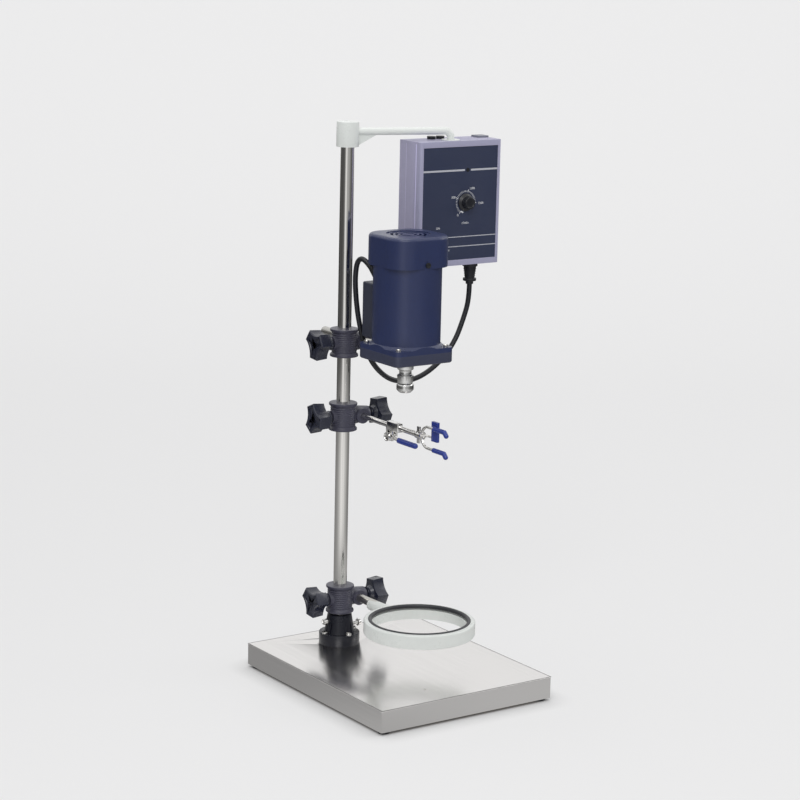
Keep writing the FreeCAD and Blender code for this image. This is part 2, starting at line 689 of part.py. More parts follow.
def pole_stand():
    """Socket bolted to the base, the pole in it, the cap on top and the hanger arm."""
    flange_level = base_top + socket_flange_height
    hub = revolved("Socket", [
        (0, base_top), (socket_flange, base_top), (socket_flange, flange_level),
        (socket_foot_radius, flange_level), (socket_top_radius, socket_top),
        (pole_radius + fit, socket_top), (pole_radius + fit, base_top + socket_floor),
        (0, base_top + socket_floor)], pole_x, pole_y)
    dress(hub, "Chamfer", socket_groove / 2,
          lambda edge: at_level(socket_top)(edge) and edge.Length > 100)
    dress(hub, "Fillet", socket_groove / 2,
          lambda edge: at_level(flange_level)(edge) and edge.Length > 150)
    groove = new_sketch(hub, "XY_Plane", flange_level)
    slant = HALF_ROOT_THREE * socket_foot_radius
    outline(groove, [(slant - socket_groove, slant / 3), (slant + socket_groove * 3, slant / 3),
                     (slant + socket_groove * 3, slant / 3 + socket_groove),
                     (slant - socket_groove, slant / 3 + socket_groove)])
    cut = extrude(hub, "Pocket", groove, socket_groove_height, True)
    polar(hub, cut, 4)
    seat_level = flange_level - socket_bolt_sink
    tools = []
    bolts = []
    for i, j in COMPASS:
        x = pole_x + socket_bolt_circle * i
        y = pole_y + socket_bolt_circle * j
        tools.append(cylinder(socket_bolt_head + fit * 10, socket_height, x, y, seat_level))
        tools.append(cylinder(socket_bolt_radius + fit, socket_height, x, y, base_top))
        head = cylinder(socket_bolt_head, socket_bolt_head_height, x, y, seat_level)
        key = cylinder(socket_bolt_radius * 0.8, socket_bolt_sink, x, y,
                       seat_level + socket_bolt_head_height - socket_bolt_sink)
        shank = cylinder(socket_bolt_radius, socket_bolt_length, x, y,
                         seat_level - socket_bolt_length)
        bolts.append(joined(without(head, key), shank))
    tight = base_top + tight_screw_height
    loose = base_top + loose_screw_height
    reach = socket_flange
    tools.append(cylinder(set_screw_radius + fit, reach, pole_x, pole_y, loose, "x"))
    tools.append(cylinder(set_screw_radius + fit, reach, pole_x, pole_y, tight, "-x"))
    piece(without(hub, *tools), "pole_socket")
    piece(joined(*bolts), "socket_bolts")

    screws = []
    for sign, level, stand in ((1, loose, loose_screw_stand), (-1, tight, tight_screw_stand)):
        axis = "x" if sign > 0 else "-x"
        under_head = socket_foot_radius - 1 + stand
        start = pole_x + pole_radius * sign
        stem = cylinder(set_screw_radius, under_head - pole_radius, start, pole_y, level, axis)
        head_at = pole_x + under_head * sign
        head = cone(set_screw_head, set_screw_head - 1, set_screw_head_height, head_at, pole_y,
                    level, axis)
        screws.append(joined(stem, head))
    piece(joined(*screws), "socket_screws")

    pole_bottom = base_top + socket_floor
    pole_top = cap_top - cap_roof
    tube = cylinder(pole_radius, pole_top - pole_bottom, pole_x, pole_y, pole_bottom)
    hollow = cylinder(pole_radius - pole_wall, pole_top - pole_bottom, pole_x, pole_y, pole_bottom)
    piece(without(tube, hollow), "pole")

    cap = revolved("Cap", [(0, cap_top), (0, pole_top), (pole_radius + fit, pole_top),
                           (pole_radius + fit, cap_bottom), (cap_radius, cap_bottom),
                           (cap_radius, cap_top)], pole_x, pole_y)
    dress(cap, "Fillet", cap_edge, lambda edge: at_level(cap_top)(edge) and edge.Length > 90)
    piece(cap, "top_cap")

    straight = arm_reach - arm_bend
    run = cylinder(arm_radius, straight, 0, 0, arm_height, "x")
    bend = doc.addObject("Part::Torus", "Bend")
    bind(bend, "Radius1", arm_bend)
    bind(bend, "Radius2", arm_radius)
    bend.Angle3 = 90
    place(bend, straight, 0, arm_height - arm_bend, FreeCAD.Rotation(FreeCAD.Vector(1, 0, 0), 90))
    tail_length = arm_height - arm_bend - box_top + box_wall + nut_height * 2
    tail = cylinder(arm_radius, tail_length, arm_reach, 0, arm_height - arm_bend, "-z")
    gusset = new_body("Gusset")
    web = new_sketch(gusset, "XZ_Plane")
    under = arm_height - arm_radius / 2
    outline(web, [(cap_radius / 2, under), (cap_radius / 2, cap_bottom + gusset_foot),
                  (cap_radius, cap_bottom + gusset_foot), (cap_radius + gusset_length, under)])
    pad = extrude(gusset, "Pad", web, gusset_thick)
    pad.Midplane = True
    arm = without(joined(run, bend, tail, gusset), cylinder(cap_radius, cap_height, 0, 0,
                                                            cap_bottom))
    place(arm, pole_x, pole_y, 0)
    bind(arm, "Placement.Rotation.Angle", -arm_turn)
    piece(arm, "hanger_arm")

    washer = cylinder(washer_radius, washer_thick, arm_end_x, arm_end_y, box_top)
    nut = doc.addObject("Part::Prism", "Nut")
    nut.Polygon = 6
    bind(nut, "Circumradius", nut_across / math.sqrt(3))
    bind(nut, "Height", nut_height)
    place(nut, arm_end_x, arm_end_y, box_top - box_wall - nut_height)
    hole = cylinder(arm_radius + fit, box_height, arm_end_x, arm_end_y, box_bottom)
    tall_hole = cylinder(arm_radius + fit, washer_radius, arm_end_x, arm_end_y, box_top)
    piece(joined(without(washer, tall_hole), without(nut, hole)), "hanger_nut")


def clamp_boss(label, height, rod_bore):
    """Cast boss that slides on the pole and holds a rod beside it."""
    half = boss_height / 2
    lip = half - boss_lip
    waist = lip - boss_lip_slope
    hole = pole_radius + fit
    spool = revolved("Spool", [
        (hole, -half), (boss_lip_radius, -half), (boss_lip_radius, -lip), (boss_radius, -waist),
        (boss_radius, waist), (boss_lip_radius, lip), (boss_lip_radius, half), (hole, half)],
        pole_x, pole_y, height)
    dress(spool, "Fillet", boss_lip / 3,
          lambda edge: edge.Length > 120 and edge.BoundBox.ZLength < 1e-4)
    arm = cone(boss_arm_root, boss_arm_tip, boss_arm_reach, pole_x, pole_y, height, "x")
    pad = cone(boss_pad_tip + boss_lip, boss_pad_tip, boss_pad_reach, pole_x, pole_y, height, "-x")
    eye = cylinder(eye_radius, eye_length, rod_x, pole_y - eye_length / 2, height, "y")
    through = cylinder(hole, boss_height, pole_x, pole_y, height - half)
    rod_hole = cylinder(rod_bore, boss_height * 2, rod_x, pole_y - boss_height, height, "y")
    left_hole = cylinder(stud_radius + fit, boss_lip_radius * 2, pole_x, pole_y, height, "-x")
    right_hole = cylinder(stud_radius + fit, boss_arm_reach, rod_x, pole_y, height, "x")
    solid = joined(spool, arm, pad, eye)
    return piece(without(solid, through, rod_hole, left_hole, right_hole), label)


def clamp_knob(label, x, height, tip, side, turn):
    """Knob of three flat ended lobes with its stud; side is 1 for the rod knob."""
    body = new_body("Knob")
    grip = new_sketch(body, "XY_Plane", knob_neck_length)
    half = knob_lobe / 2
    across = half * HALF_ROOT_THREE
    along = knob_reach * HALF_ROOT_THREE
    outline(grip, [
        (knob_reach, -half), (knob_reach, half),
        (across - knob_reach / 2, along + half / 2), (-across - knob_reach / 2, along - half / 2),
        (-across - knob_reach / 2, half / 2 - along), (across - knob_reach / 2, -along - half / 2)])
    pad = extrude(body, "Pad", grip, knob_grip_length)
    bind(pad, "TaperAngle", knob_flare)
    doc.recompute()
    flute = new_sketch(body, "XY_Plane", knob_neck_length)
    flat = (knob_reach + knob_lobe * HALF_ROOT_THREE) / 2
    ring_mark(flute, -flat - knob_flute + knob_flute_depth, 0, knob_flute)
    cut = extrude(body, "Pocket", flute, knob_grip_length, True)
    polar(body, cut, 3)
    dress(body, "Chamfer", knob_edge, at_level(knob_neck_length + knob_grip_length))
    neck = new_sketch(body, "XZ_Plane")
    outline(neck, [(0, 0), (knob_neck_radius, 0), (knob_neck_waist, knob_neck_length / 2),
                   (knob_neck_radius + 1, knob_neck_length), (0, knob_neck_length)])
    turned = body.newObject("PartDesign::Revolution", "Neck")
    turned.Profile = neck
    turned.ReferenceAxis = (neck, ["V_Axis"])
    turned.Angle = 360
    stud = new_sketch(body)
    ring_mark(stud, 0, 0, stud_radius)
    extrude(body, "Pad", stud, tip, True)
    spin = FreeCAD.Rotation(FreeCAD.Vector(0, 0, 1), turn.number)
    place(body, x, pole_y, height, TURNS["x" if side > 0 else "-x"].multiply(spin))
    return piece(body, label)


def clamp_bosses():
    """Three bosses, each with a knob on the pole and a knob on its rod."""
    for name, height, rod in (("upper", upper_boss_height, motor_rod_radius),
                              ("middle", middle_boss_height, clamp_rod_radius),
                              ("lower", lower_boss_height, ring_rod_radius)):
        clamp_boss(f"{name}_boss", height, rod + fit)
        left = boss_pad_reach + knob_stand
        turn = middle_knob_turn if name == "middle" else knob_turn
        clamp_knob(f"{name}_pole_knob", pole_x - left, height, left - pole_radius - running, -1,
                   turn)
        right = boss_arm_reach + knob_stand
        clamp_knob(f"{name}_rod_knob", pole_x + right, height,
                   right - rod_offset - rod - running, 1, knob_turn)


def motor():
    """Motor with its plate, housing, windings, rotor, fan, cover, run box and screws."""
    level = upper_boss_height
    plate_rear = motor_y + flange_width / 2
    rod_length = motor_rod_rear - plate_rear
    rod = cylinder(motor_rod_radius, rod_length, rod_x, plate_rear, level, "y")
    dome = cone(motor_rod_radius, motor_rod_radius - motor_rod_dome, motor_rod_dome, rod_x,
                motor_rod_rear, level, "y")
    tenon = cylinder(motor_rod_tenon, motor_rod_tenon_length, rod_x, plate_rear, level, "-y")
    piece(joined(rod, dome, tenon), "motor_rod")

    plate = rounded_block("Plate", flange_width, flange_width, plate_height, flange_corner,
                          rod_x, motor_y, plate_bottom)
    dress(plate, "Chamfer", plate_chamfer, at_level(0))
    seat = cylinder(bearing_radius, bearing_width, rod_x, motor_y, plate_top - bearing_width)
    shaft_hole = cylinder(shaft_radius + running, plate_height, rod_x, motor_y, plate_bottom)
    rod_hole = cylinder(motor_rod_tenon, motor_rod_tenon_length, rod_x, plate_rear, level, "-y")
    corners = [(rod_x + i * corner_screw_place, motor_y + j * corner_screw_place)
               for i, j in SIGNS]
    taps = [cylinder(screw_shank, screw_length, i, j, flange_top - screw_length)
            for i, j in corners]
    piece(without(plate, seat, shaft_hole, rod_hole, *taps), "motor_plate")

    flange = rounded_block("Flange", flange_width, flange_width, flange_height, flange_corner,
                           rod_x, motor_y, plate_top)
    square = rounded_block("Shoulder", flange_width, flange_width, housing_height, flange_corner,
                           rod_x, motor_y, plate_top)
    slope = cone(shoulder_radius, housing_radius - 1, shoulder_height, rod_x, motor_y, flange_top)
    barrel = cylinder(housing_radius, housing_height, rod_x, motor_y, plate_top)
    spigot = cylinder(spigot_radius, spigot_height, rod_x, motor_y, housing_top)
    cavity = cylinder(housing_radius - housing_wall, housing_height - housing_roof, rod_x,
                      motor_y, plate_top)
    well = cylinder(spigot_radius - housing_wall, spigot_height, rod_x, motor_y, housing_top)
    top_seat = cylinder(bearing_radius, bearing_width, rod_x, motor_y,
                        housing_top - bearing_width)
    boss = cylinder(bearing_radius + housing_wall, bearing_width, rod_x, motor_y,
                    housing_top - bearing_width)
    side_taps = [cylinder(screw_shank, housing_radius, rod_x, motor_y,
                          housing_top + cover_screw_height, axis)
                 for axis in ("y", "-y")]
    shell = without(joined(flange, shared(square, slope), barrel, spigot), cavity, well)
    piece(without(joined(shell, boss), top_seat, *taps, *side_taps), "motor_housing")

    stator_bottom = plate_top + stator_lift
    stack = cylinder(stator_outer, stator_height, rod_x, motor_y, stator_bottom)
    coils = cylinder(winding_outer, stator_height + winding_height * 2, rod_x, motor_y,
                     stator_bottom - winding_height)
    bore = cylinder(stator_inner, housing_height, rod_x, motor_y, plate_top)
    piece(without(joined(stack, coils), bore), "stator")

    bearings = []
    for bottom in (plate_top - bearing_width, housing_top - bearing_width):
        race = cylinder(bearing_radius, bearing_width, rod_x, motor_y, bottom)
        hole = cylinder(shaft_radius + fit, bearing_width, rod_x, motor_y, bottom)
        bearings.append(without(race, hole))
    piece(joined(*bearings), "motor_bearings")

    chuck_level = plate_bottom - chuck_top
    shaft_bottom = chuck_level - shaft_in_chuck
    fan_bottom = housing_top + fan_gap
    fan_top = fan_bottom + fan_disc + fan_blade_height
    shaft = cylinder(shaft_radius, fan_top - shaft_bottom, rod_x, motor_y, shaft_bottom)
    core = cylinder(rotor_radius, stator_height, rod_x, motor_y, stator_bottom)
    piece(joined(shaft, core), "rotor")

    fan = new_body("Fan")
    disc = new_sketch(fan)
    ring_mark(disc, 0, 0, fan_radius)
    extrude(fan, "Pad", disc, fan_disc)
    middle = new_sketch(fan)
    ring_mark(middle, 0, 0, fan_hub_radius)
    extrude(fan, "Pad", middle, fan_disc + fan_blade_height)
    blade = new_sketch(fan, "XY_Plane", fan_disc)
    outline(blade, [(fan_hub_radius - 1, -fan_blade_thick / 2), (fan_radius, -fan_blade_thick / 2),
                    (fan_radius, fan_blade_thick / 2), (fan_hub_radius - 1, fan_blade_thick / 2)])
    wing = extrude(fan, "Pad", blade, fan_blade_height)
    polar(fan, wing, 8)
    centre = new_sketch(fan)
    ring_mark(centre, 0, 0, shaft_radius)
    extrude(fan, "Pocket", centre, fan_disc + fan_blade_height, True)
    place(fan, rod_x, motor_y, fan_bottom)
    piece(fan, "cooling_fan")

    cover = rounded_block("Cover", cover_width, cover_width, cover_height, cover_corner, rod_x,
                          motor_y, housing_top, cover_edge)
    inner = rounded_block("CoverInside", cover_width - cover_wall * 2,
                          cover_width - cover_wall * 2, cover_height - cover_wall * 1.5,
                          cover_corner - cover_wall, rod_x, motor_y, housing_top,
                          cover_edge - cover_wall)
    recess = cylinder(vent_recess, cover_wall, rod_x, motor_y, cover_top - vent_recess_depth)
    rings = []
    for turn in range(3):
        inside = vent_inner + vent_pitch * turn
        disc = cylinder(inside + vent_width, cover_wall * 2, rod_x, motor_y,
                        cover_top - cover_wall * 2)
        core = cylinder(inside, cover_wall * 2, rod_x, motor_y, cover_top - cover_wall * 2)
        rings.append(without(disc, core))
    span = vent_recess * 2
    spokes = [block(span, vent_bridge, cover_height, rod_x - span / 2, motor_y - vent_bridge / 2,
                    housing_top),
              block(vent_bridge, span, cover_height, rod_x - vent_bridge / 2, motor_y - span / 2,
                    housing_top)]
    slots = without(joined(*rings), *spokes)
    cover_holes = [cylinder(screw_shank + fit, cover_width, rod_x, motor_y,
                            housing_top + cover_screw_height, axis)
                   for axis in ("y", "-y")]
    piece(without(cover, inner, recess, slots, *cover_holes), "fan_cover")

    screws = []
    for i, j in corners:
        head = cylinder(screw_head, screw_head_height, i, j, flange_top)
        stem = cylinder(screw_shank, screw_length, i, j, flange_top - screw_length)
        screws.append(joined(head, stem))
    for side, axis in ((1, "y"), (-1, "-y")):
        outside = motor_y + cover_width / 2 * side
        inside = outside - cover_screw_length * side
        level = housing_top + cover_screw_height
        head = cylinder(screw_head, screw_head_height, rod_x, outside, level, axis)
        stem = cylinder(screw_shank, cover_screw_length, rod_x, inside, level, axis)
        screws.append(joined(head, stem))
    piece(joined(*screws), "motor_screws")

    box_bottom_level = flange_top + shoulder_height
    box = rounded_block("RunBox", run_box_width, run_box_reach, run_box_height, run_box_corner,
                        rod_x, motor_y + run_box_reach / 2, box_bottom_level, run_box_corner / 2)
    skin = cylinder(housing_radius, housing_height, rod_x, motor_y, plate_top)
    front = block(run_box_width * 2, run_box_reach, housing_height, rod_x - run_box_width,
                  motor_y - run_box_reach / 2, plate_top)
    piece(without(box, skin, front), "capacitor_box")

    gland_turn = FreeCAD.Rotation(FreeCAD.Vector(0, 0, 1), grommet_azimuth.number)
    lean = FreeCAD.Rotation(FreeCAD.Vector(0, 1, 0), 90 - grommet_rise.number)
    gland = cone(grommet_root, grommet_tip, grommet_length + housing_wall,
                 rod_x + (housing_radius - housing_wall / 2) * cosine(grommet_azimuth),
                 motor_y + (housing_radius - housing_wall / 2) * sine(grommet_azimuth),
                 plate_top + grommet_height)
    gland.Placement = FreeCAD.Placement(gland.Placement.Base, gland_turn.multiply(lean))
    wall = cylinder(housing_radius, housing_height, rod_x, motor_y, plate_top)
    piece(without(gland, wall), "cord_grommet")
    return gland


def chuck():
    """Chuck body on the shaft, the collet in it and the nut that closes it."""
    top = plate_bottom - chuck_top
    neck_top = top - chuck_collar_height
    neck_low = neck_top - chuck_neck_slope
    flare_top = neck_low - chuck_neck_height
    flare_low = flare_top - chuck_flare_height
    tip = flare_low - chuck_thread_height
    collet_room = collet_radius + fit
    shaft_end = top - shaft_in_chuck
    body = revolved("Chuck", [
        (shaft_radius, top), (chuck_collar_radius, top), (chuck_collar_radius, neck_top),
        (chuck_neck_radius, neck_low), (chuck_neck_radius, flare_top),
        (chuck_flare_radius, flare_top - chuck_neck_slope), (chuck_flare_low, flare_low),
        (chuck_thread_radius, flare_low), (chuck_thread_radius, tip), (collet_room, tip),
        (collet_room, shaft_end), (shaft_radius, shaft_end)], rod_x, motor_y)
    dress(body, "Fillet", chuck_neck_slope / 2,
          lambda edge: at_level(top)(edge) and edge.Length > 60)
    piece(body, "chuck_body")

    nut_top = flare_low - running * 2
    nut_low = nut_top - chuck_nut_height
    nut_room = chuck_thread_radius + fit
    floor = nut_low + chuck_nut_floor
    nut = revolved("ChuckNut", [
        (nut_room, nut_top), (chuck_nut_radius - 1, nut_top), (chuck_nut_radius, nut_top - 2),
        (chuck_nut_radius, nut_low + chuck_nut_edge), (chuck_nut_radius - chuck_nut_edge, nut_low),
        (chuck_nut_mouth, nut_low), (chuck_nut_mouth, floor), (nut_room, floor)], rod_x, motor_y)
    piece(nut, "chuck_nut")

    collet_low = floor + running
    sleeve = cylinder(collet_radius, collet_height, rod_x, motor_y, collet_low)
    bore = cylinder(collet_bore, collet_height, rod_x, motor_y, collet_low)
    slit = block(collet_radius * 2, collet_slit, collet_slit_height, rod_x - collet_radius,
                 motor_y - collet_slit / 2, collet_low)
    cross = block(collet_slit, collet_radius * 2, collet_slit_height, rod_x - collet_slit / 2,
                  motor_y - collet_radius, collet_low)
    piece(without(sleeve, bore, slit, cross), "chuck_collet")


def tube_path(name, radius, spots, share=0.45):
    """A round bar along straight runs joined by tangent arcs."""
    edges = []
    start = spots[0]
    radii = []
    for before, corner, after in zip(spots, spots[1:], spots[2:]):
        arriving = corner - before
        leaving = after - corner
        reach = share * min(arriving.Length, leaving.Length)
        half_turn = arriving.getAngle(leaving) / 2
        arriving.normalize()
        leaving.normalize()
        bend = reach / math.tan(half_turn)
        radii.append(bend)
        inward = leaving - arriving
        inward.normalize()
        centre = corner + inward * (bend / math.cos(half_turn))
        arc_start = corner - arriving * reach
        arc_end = corner + leaving * reach
        edges.append(Part.LineSegment(start, arc_start).toShape())
        edges.append(Part.Arc(arc_start, centre - inward * bend, arc_end).toShape())
        start = arc_end
    edges.append(Part.LineSegment(start, spots[-1]).toShape())
    wire = Part.Wire(edges)
    direction = spots[1] - spots[0]
    disc = Part.Wire([Part.Circle(spots[0], direction, radius).toShape()])
    thing = doc.addObject("Part::Feature", name)
    thing.Shape = wire.makePipeShell([disc], True, False)
    return thing, radii, wire.Length


def hooked_finger(radius, start, height):
    """A straight finger along the front direction with a hooked, round end."""
    straight = cylinder(radius, start - finger_end, rod_x, start, height, "-y")
    knee = sphere(radius, rod_x, finger_end, height)
    slope = cylinder(radius, finger_hook, rod_x, finger_end, height, "hook")
    drop = finger_hook / math.sqrt(2)
    end = sphere(radius, rod_x, finger_end - drop, height - drop)
    return joined(straight, knee, slope, end)


def three_finger_clamp():
    """Rod with the cast head, yoke with two fingers, centre finger, wing nut and lever."""
    level = middle_boss_height
    front = clamp_head_rear - clamp_head_length
    rod = cylinder(clamp_rod_radius, clamp_rod_rear - clamp_head_rear, rod_x, clamp_head_rear,
                   level, "y")
    head = rounded_block("Head", clamp_head_thick, clamp_head_length, clamp_head_height,
                         clamp_head_thick / 4, rod_x, front + clamp_head_length / 2,
                         level - clamp_head_height / 2)
    lug_low = level - clamp_lug_drop
    lug = block(clamp_head_thick, clamp_lug_length, clamp_lug_drop, rod_x - clamp_head_thick / 2,
                clamp_head_rear - clamp_lug_length, lug_low)
    barrel = cylinder(barrel_radius, front - barrel_end, rod_x, front, level, "-y")
    gap = block(lever_thick + running * 2, clamp_lug_length, clamp_lug_drop - clamp_head_height / 2,
                rod_x - lever_thick / 2 - running, clamp_head_rear - clamp_lug_length, lug_low)
    bore = cylinder(barrel_bore + fit, clamp_head_rear - barrel_end, rod_x,
                    tail_rear + running * 2, level, "-y")
    pivot_z = level - lever_pivot_drop
    pin_hole = cylinder(lever_pin + fit, clamp_head_thick, rod_x - clamp_head_thick / 2,
                        lever_pivot_y, pivot_z, "x")
    piece(without(joined(rod, head, lug, barrel), gap, bore, pin_hole), "clamp_rod")

    yoke_y = barrel_end - yoke_radius
    bow = doc.addObject("Part::Torus", "Bow")
    bind(bow, "Radius1", yoke_radius)
    bind(bow, "Radius2", yoke_wire)
    bow.Angle3 = 180
    place(bow, rod_x, yoke_y, level, TURNS["x"])
    prongs = []
    sleeves = []
    for sign in (1, -1):
        height = level + yoke_radius * sign
        start = finger_end + sleeve_length
        prongs.append(cylinder(yoke_wire, yoke_y - start, rod_x, yoke_y, height, "-y"))
        prongs.append(hooked_finger(yoke_wire, start, height))
        sleeves.append(without(hooked_finger(sleeve_radius, start, height),
                               hooked_finger(yoke_wire, start, height)))
    collar = cylinder(barrel_radius + yoke_wire, yoke_wire * 2, rod_x, barrel_end + yoke_wire,
                      level, "-y")
    tail_hole = cylinder(barrel_bore + fit, yoke_radius, rod_x, barrel_end + yoke_wire, level,
                         "-y")
    barrel_seat = cylinder(barrel_radius, yoke_wire, rod_x, barrel_end + yoke_wire, level, "-y")
    piece(without(joined(collar, bow, *prongs), tail_hole, barrel_seat), "finger_yoke")
    piece(joined(*sleeves), "finger_sleeves")

    tail = cylinder(barrel_bore, tail_rear - tail_front, rod_x, tail_rear, level, "-y")
    elbow = sphere(barrel_bore, rod_x, tail_front, level)
    pad_x = rod_x + pad_side
    side = cylinder(finger_wire, pad_side, rod_x, tail_front, level, "x")
    side_elbow = sphere(finger_wire, pad_x, tail_front, level)
    reach = cylinder(finger_wire, tail_front - pad_rear + pad_grip, pad_x, tail_front, level,
                     "-y")
    piece(joined(tail, elbow, side, side_elbow, reach), "centre_finger")

    pad = rounded_block("Pad", pad_thick, pad_length, pad_height, pad_corner, pad_x,
                        pad_rear - pad_length / 2, level + pad_low)
    pad_hole = cylinder(finger_wire, pad_grip, pad_x, pad_rear, level, "-y")
    piece(without(pad, pad_hole), "centre_pad")

    wing = cylinder(wing_hub_radius, wing_hub_length, rod_x, wing_place, level, "-y")
    ears = block(wing_thick, wing_hub_length * 0.7, wing_span, rod_x - wing_thick / 2,
                 wing_place - wing_hub_length * 0.85, level - wing_span / 2)
    thread = cylinder(barrel_radius + fit, wing_hub_length, rod_x, wing_place, level, "-y")
    piece(without(joined(wing, ears), thread), "wing_nut")

    eye = cylinder(lever_eye, lever_thick, rod_x - lever_thick / 2, lever_pivot_y, pivot_z, "x")
    knee_z = level - lever_drop
    strip = new_body("LeverStrip")
    side_view = new_sketch(strip, "YZ_Plane", rod_x)
    outline(side_view, [(lever_pivot_y, pivot_z + lever_web), (lever_knee, knee_z + lever_web / 2),
                        (lever_knee, knee_z - lever_web / 2),
                        (lever_pivot_y, pivot_z - lever_web)])
    bar = extrude(strip, "Pad", side_view, lever_thick)
    bar.Midplane = True
    handle = cylinder(lever_rod, lever_knee - lever_end - lever_sleeve + lever_rod, rod_x,
                      lever_knee + lever_rod, knee_z, "-y")
    pin_gap = cylinder(lever_pin + fit, lever_thick, rod_x - lever_thick / 2, lever_pivot_y,
                       pivot_z, "x")
    piece(without(joined(eye, strip, handle), pin_gap), "clamp_lever")

    grip_length = lever_knee - lever_end - lever_sleeve
    grip = cylinder(lever_sleeve, grip_length, rod_x, lever_knee, knee_z, "-y")
    grip_end = sphere(lever_sleeve, rod_x, lever_end + lever_sleeve, knee_z)
    inside = cylinder(lever_rod, grip_length, rod_x, lever_knee, knee_z, "-y")
    piece(without(joined(grip, grip_end), inside), "lever_sleeve")

    stem = cylinder(lever_pin, clamp_head_thick, rod_x - clamp_head_thick / 2, lever_pivot_y,
                    pivot_z, "x")
    disc = cylinder(thumb_radius, thumb_length, rod_x - clamp_head_thick / 2 - running,
                    lever_pivot_y, pivot_z, "-x")
    link = cylinder(lever_pin, thumb_length, rod_x - clamp_head_thick / 2, lever_pivot_y,
                    pivot_z, "-x")
    piece(joined(stem, disc, link), "clamp_thumb_screw")


def flask_ring():
    """Ring with its socket, the rod that carries it and the soft band in its top edge."""
    level = lower_boss_height
    top = level + ring_above_rod
    low = top - ring_height
    ring = revolved("Ring", [
        (ring_inner, low), (ring_outer, low), (ring_outer, top), (gasket_outer, top),
        (gasket_outer, top - gasket_height), (ring_inner, top - gasket_height)], rod_x, ring_y)
    dress(ring, "Fillet", ring_edge,
          lambda edge: edge.Length > 6 * ring_outer.number and edge.BoundBox.ZLength < 1e-4)
    root_y = ring_y + ring_inner
    neck = cone(ring_neck_root, ring_neck_tip, ring_neck_end - root_y, rod_x, root_y,
                level - (ring_neck_root - ring_above_rod), "y")
    bore = cylinder(ring_rod_radius, ring_socket_depth, rod_x, ring_neck_end, level, "-y")
    hollow = cylinder(ring_inner, ring_height, rod_x, ring_y, low)
    rebate = cylinder(gasket_outer, gasket_height * 2, rod_x, ring_y, top - gasket_height)
    above = cylinder(ring_outer, ring_height, rod_x, ring_y, top)
    piece(without(joined(ring, without(neck, hollow, rebate, above)), bore), "flask_ring")
    rod_start = ring_neck_end - ring_socket_depth
    piece(cylinder(ring_rod_radius, ring_rod_rear - rod_start, rod_x, rod_start, level, "y"),
          "ring_rod")
    band = cylinder(gasket_outer, gasket_height, rod_x, ring_y, top - gasket_height)
    hole = cylinder(gasket_inner, gasket_height, rod_x, ring_y, top - gasket_height)
    piece(without(band, hole), "ring_gasket")


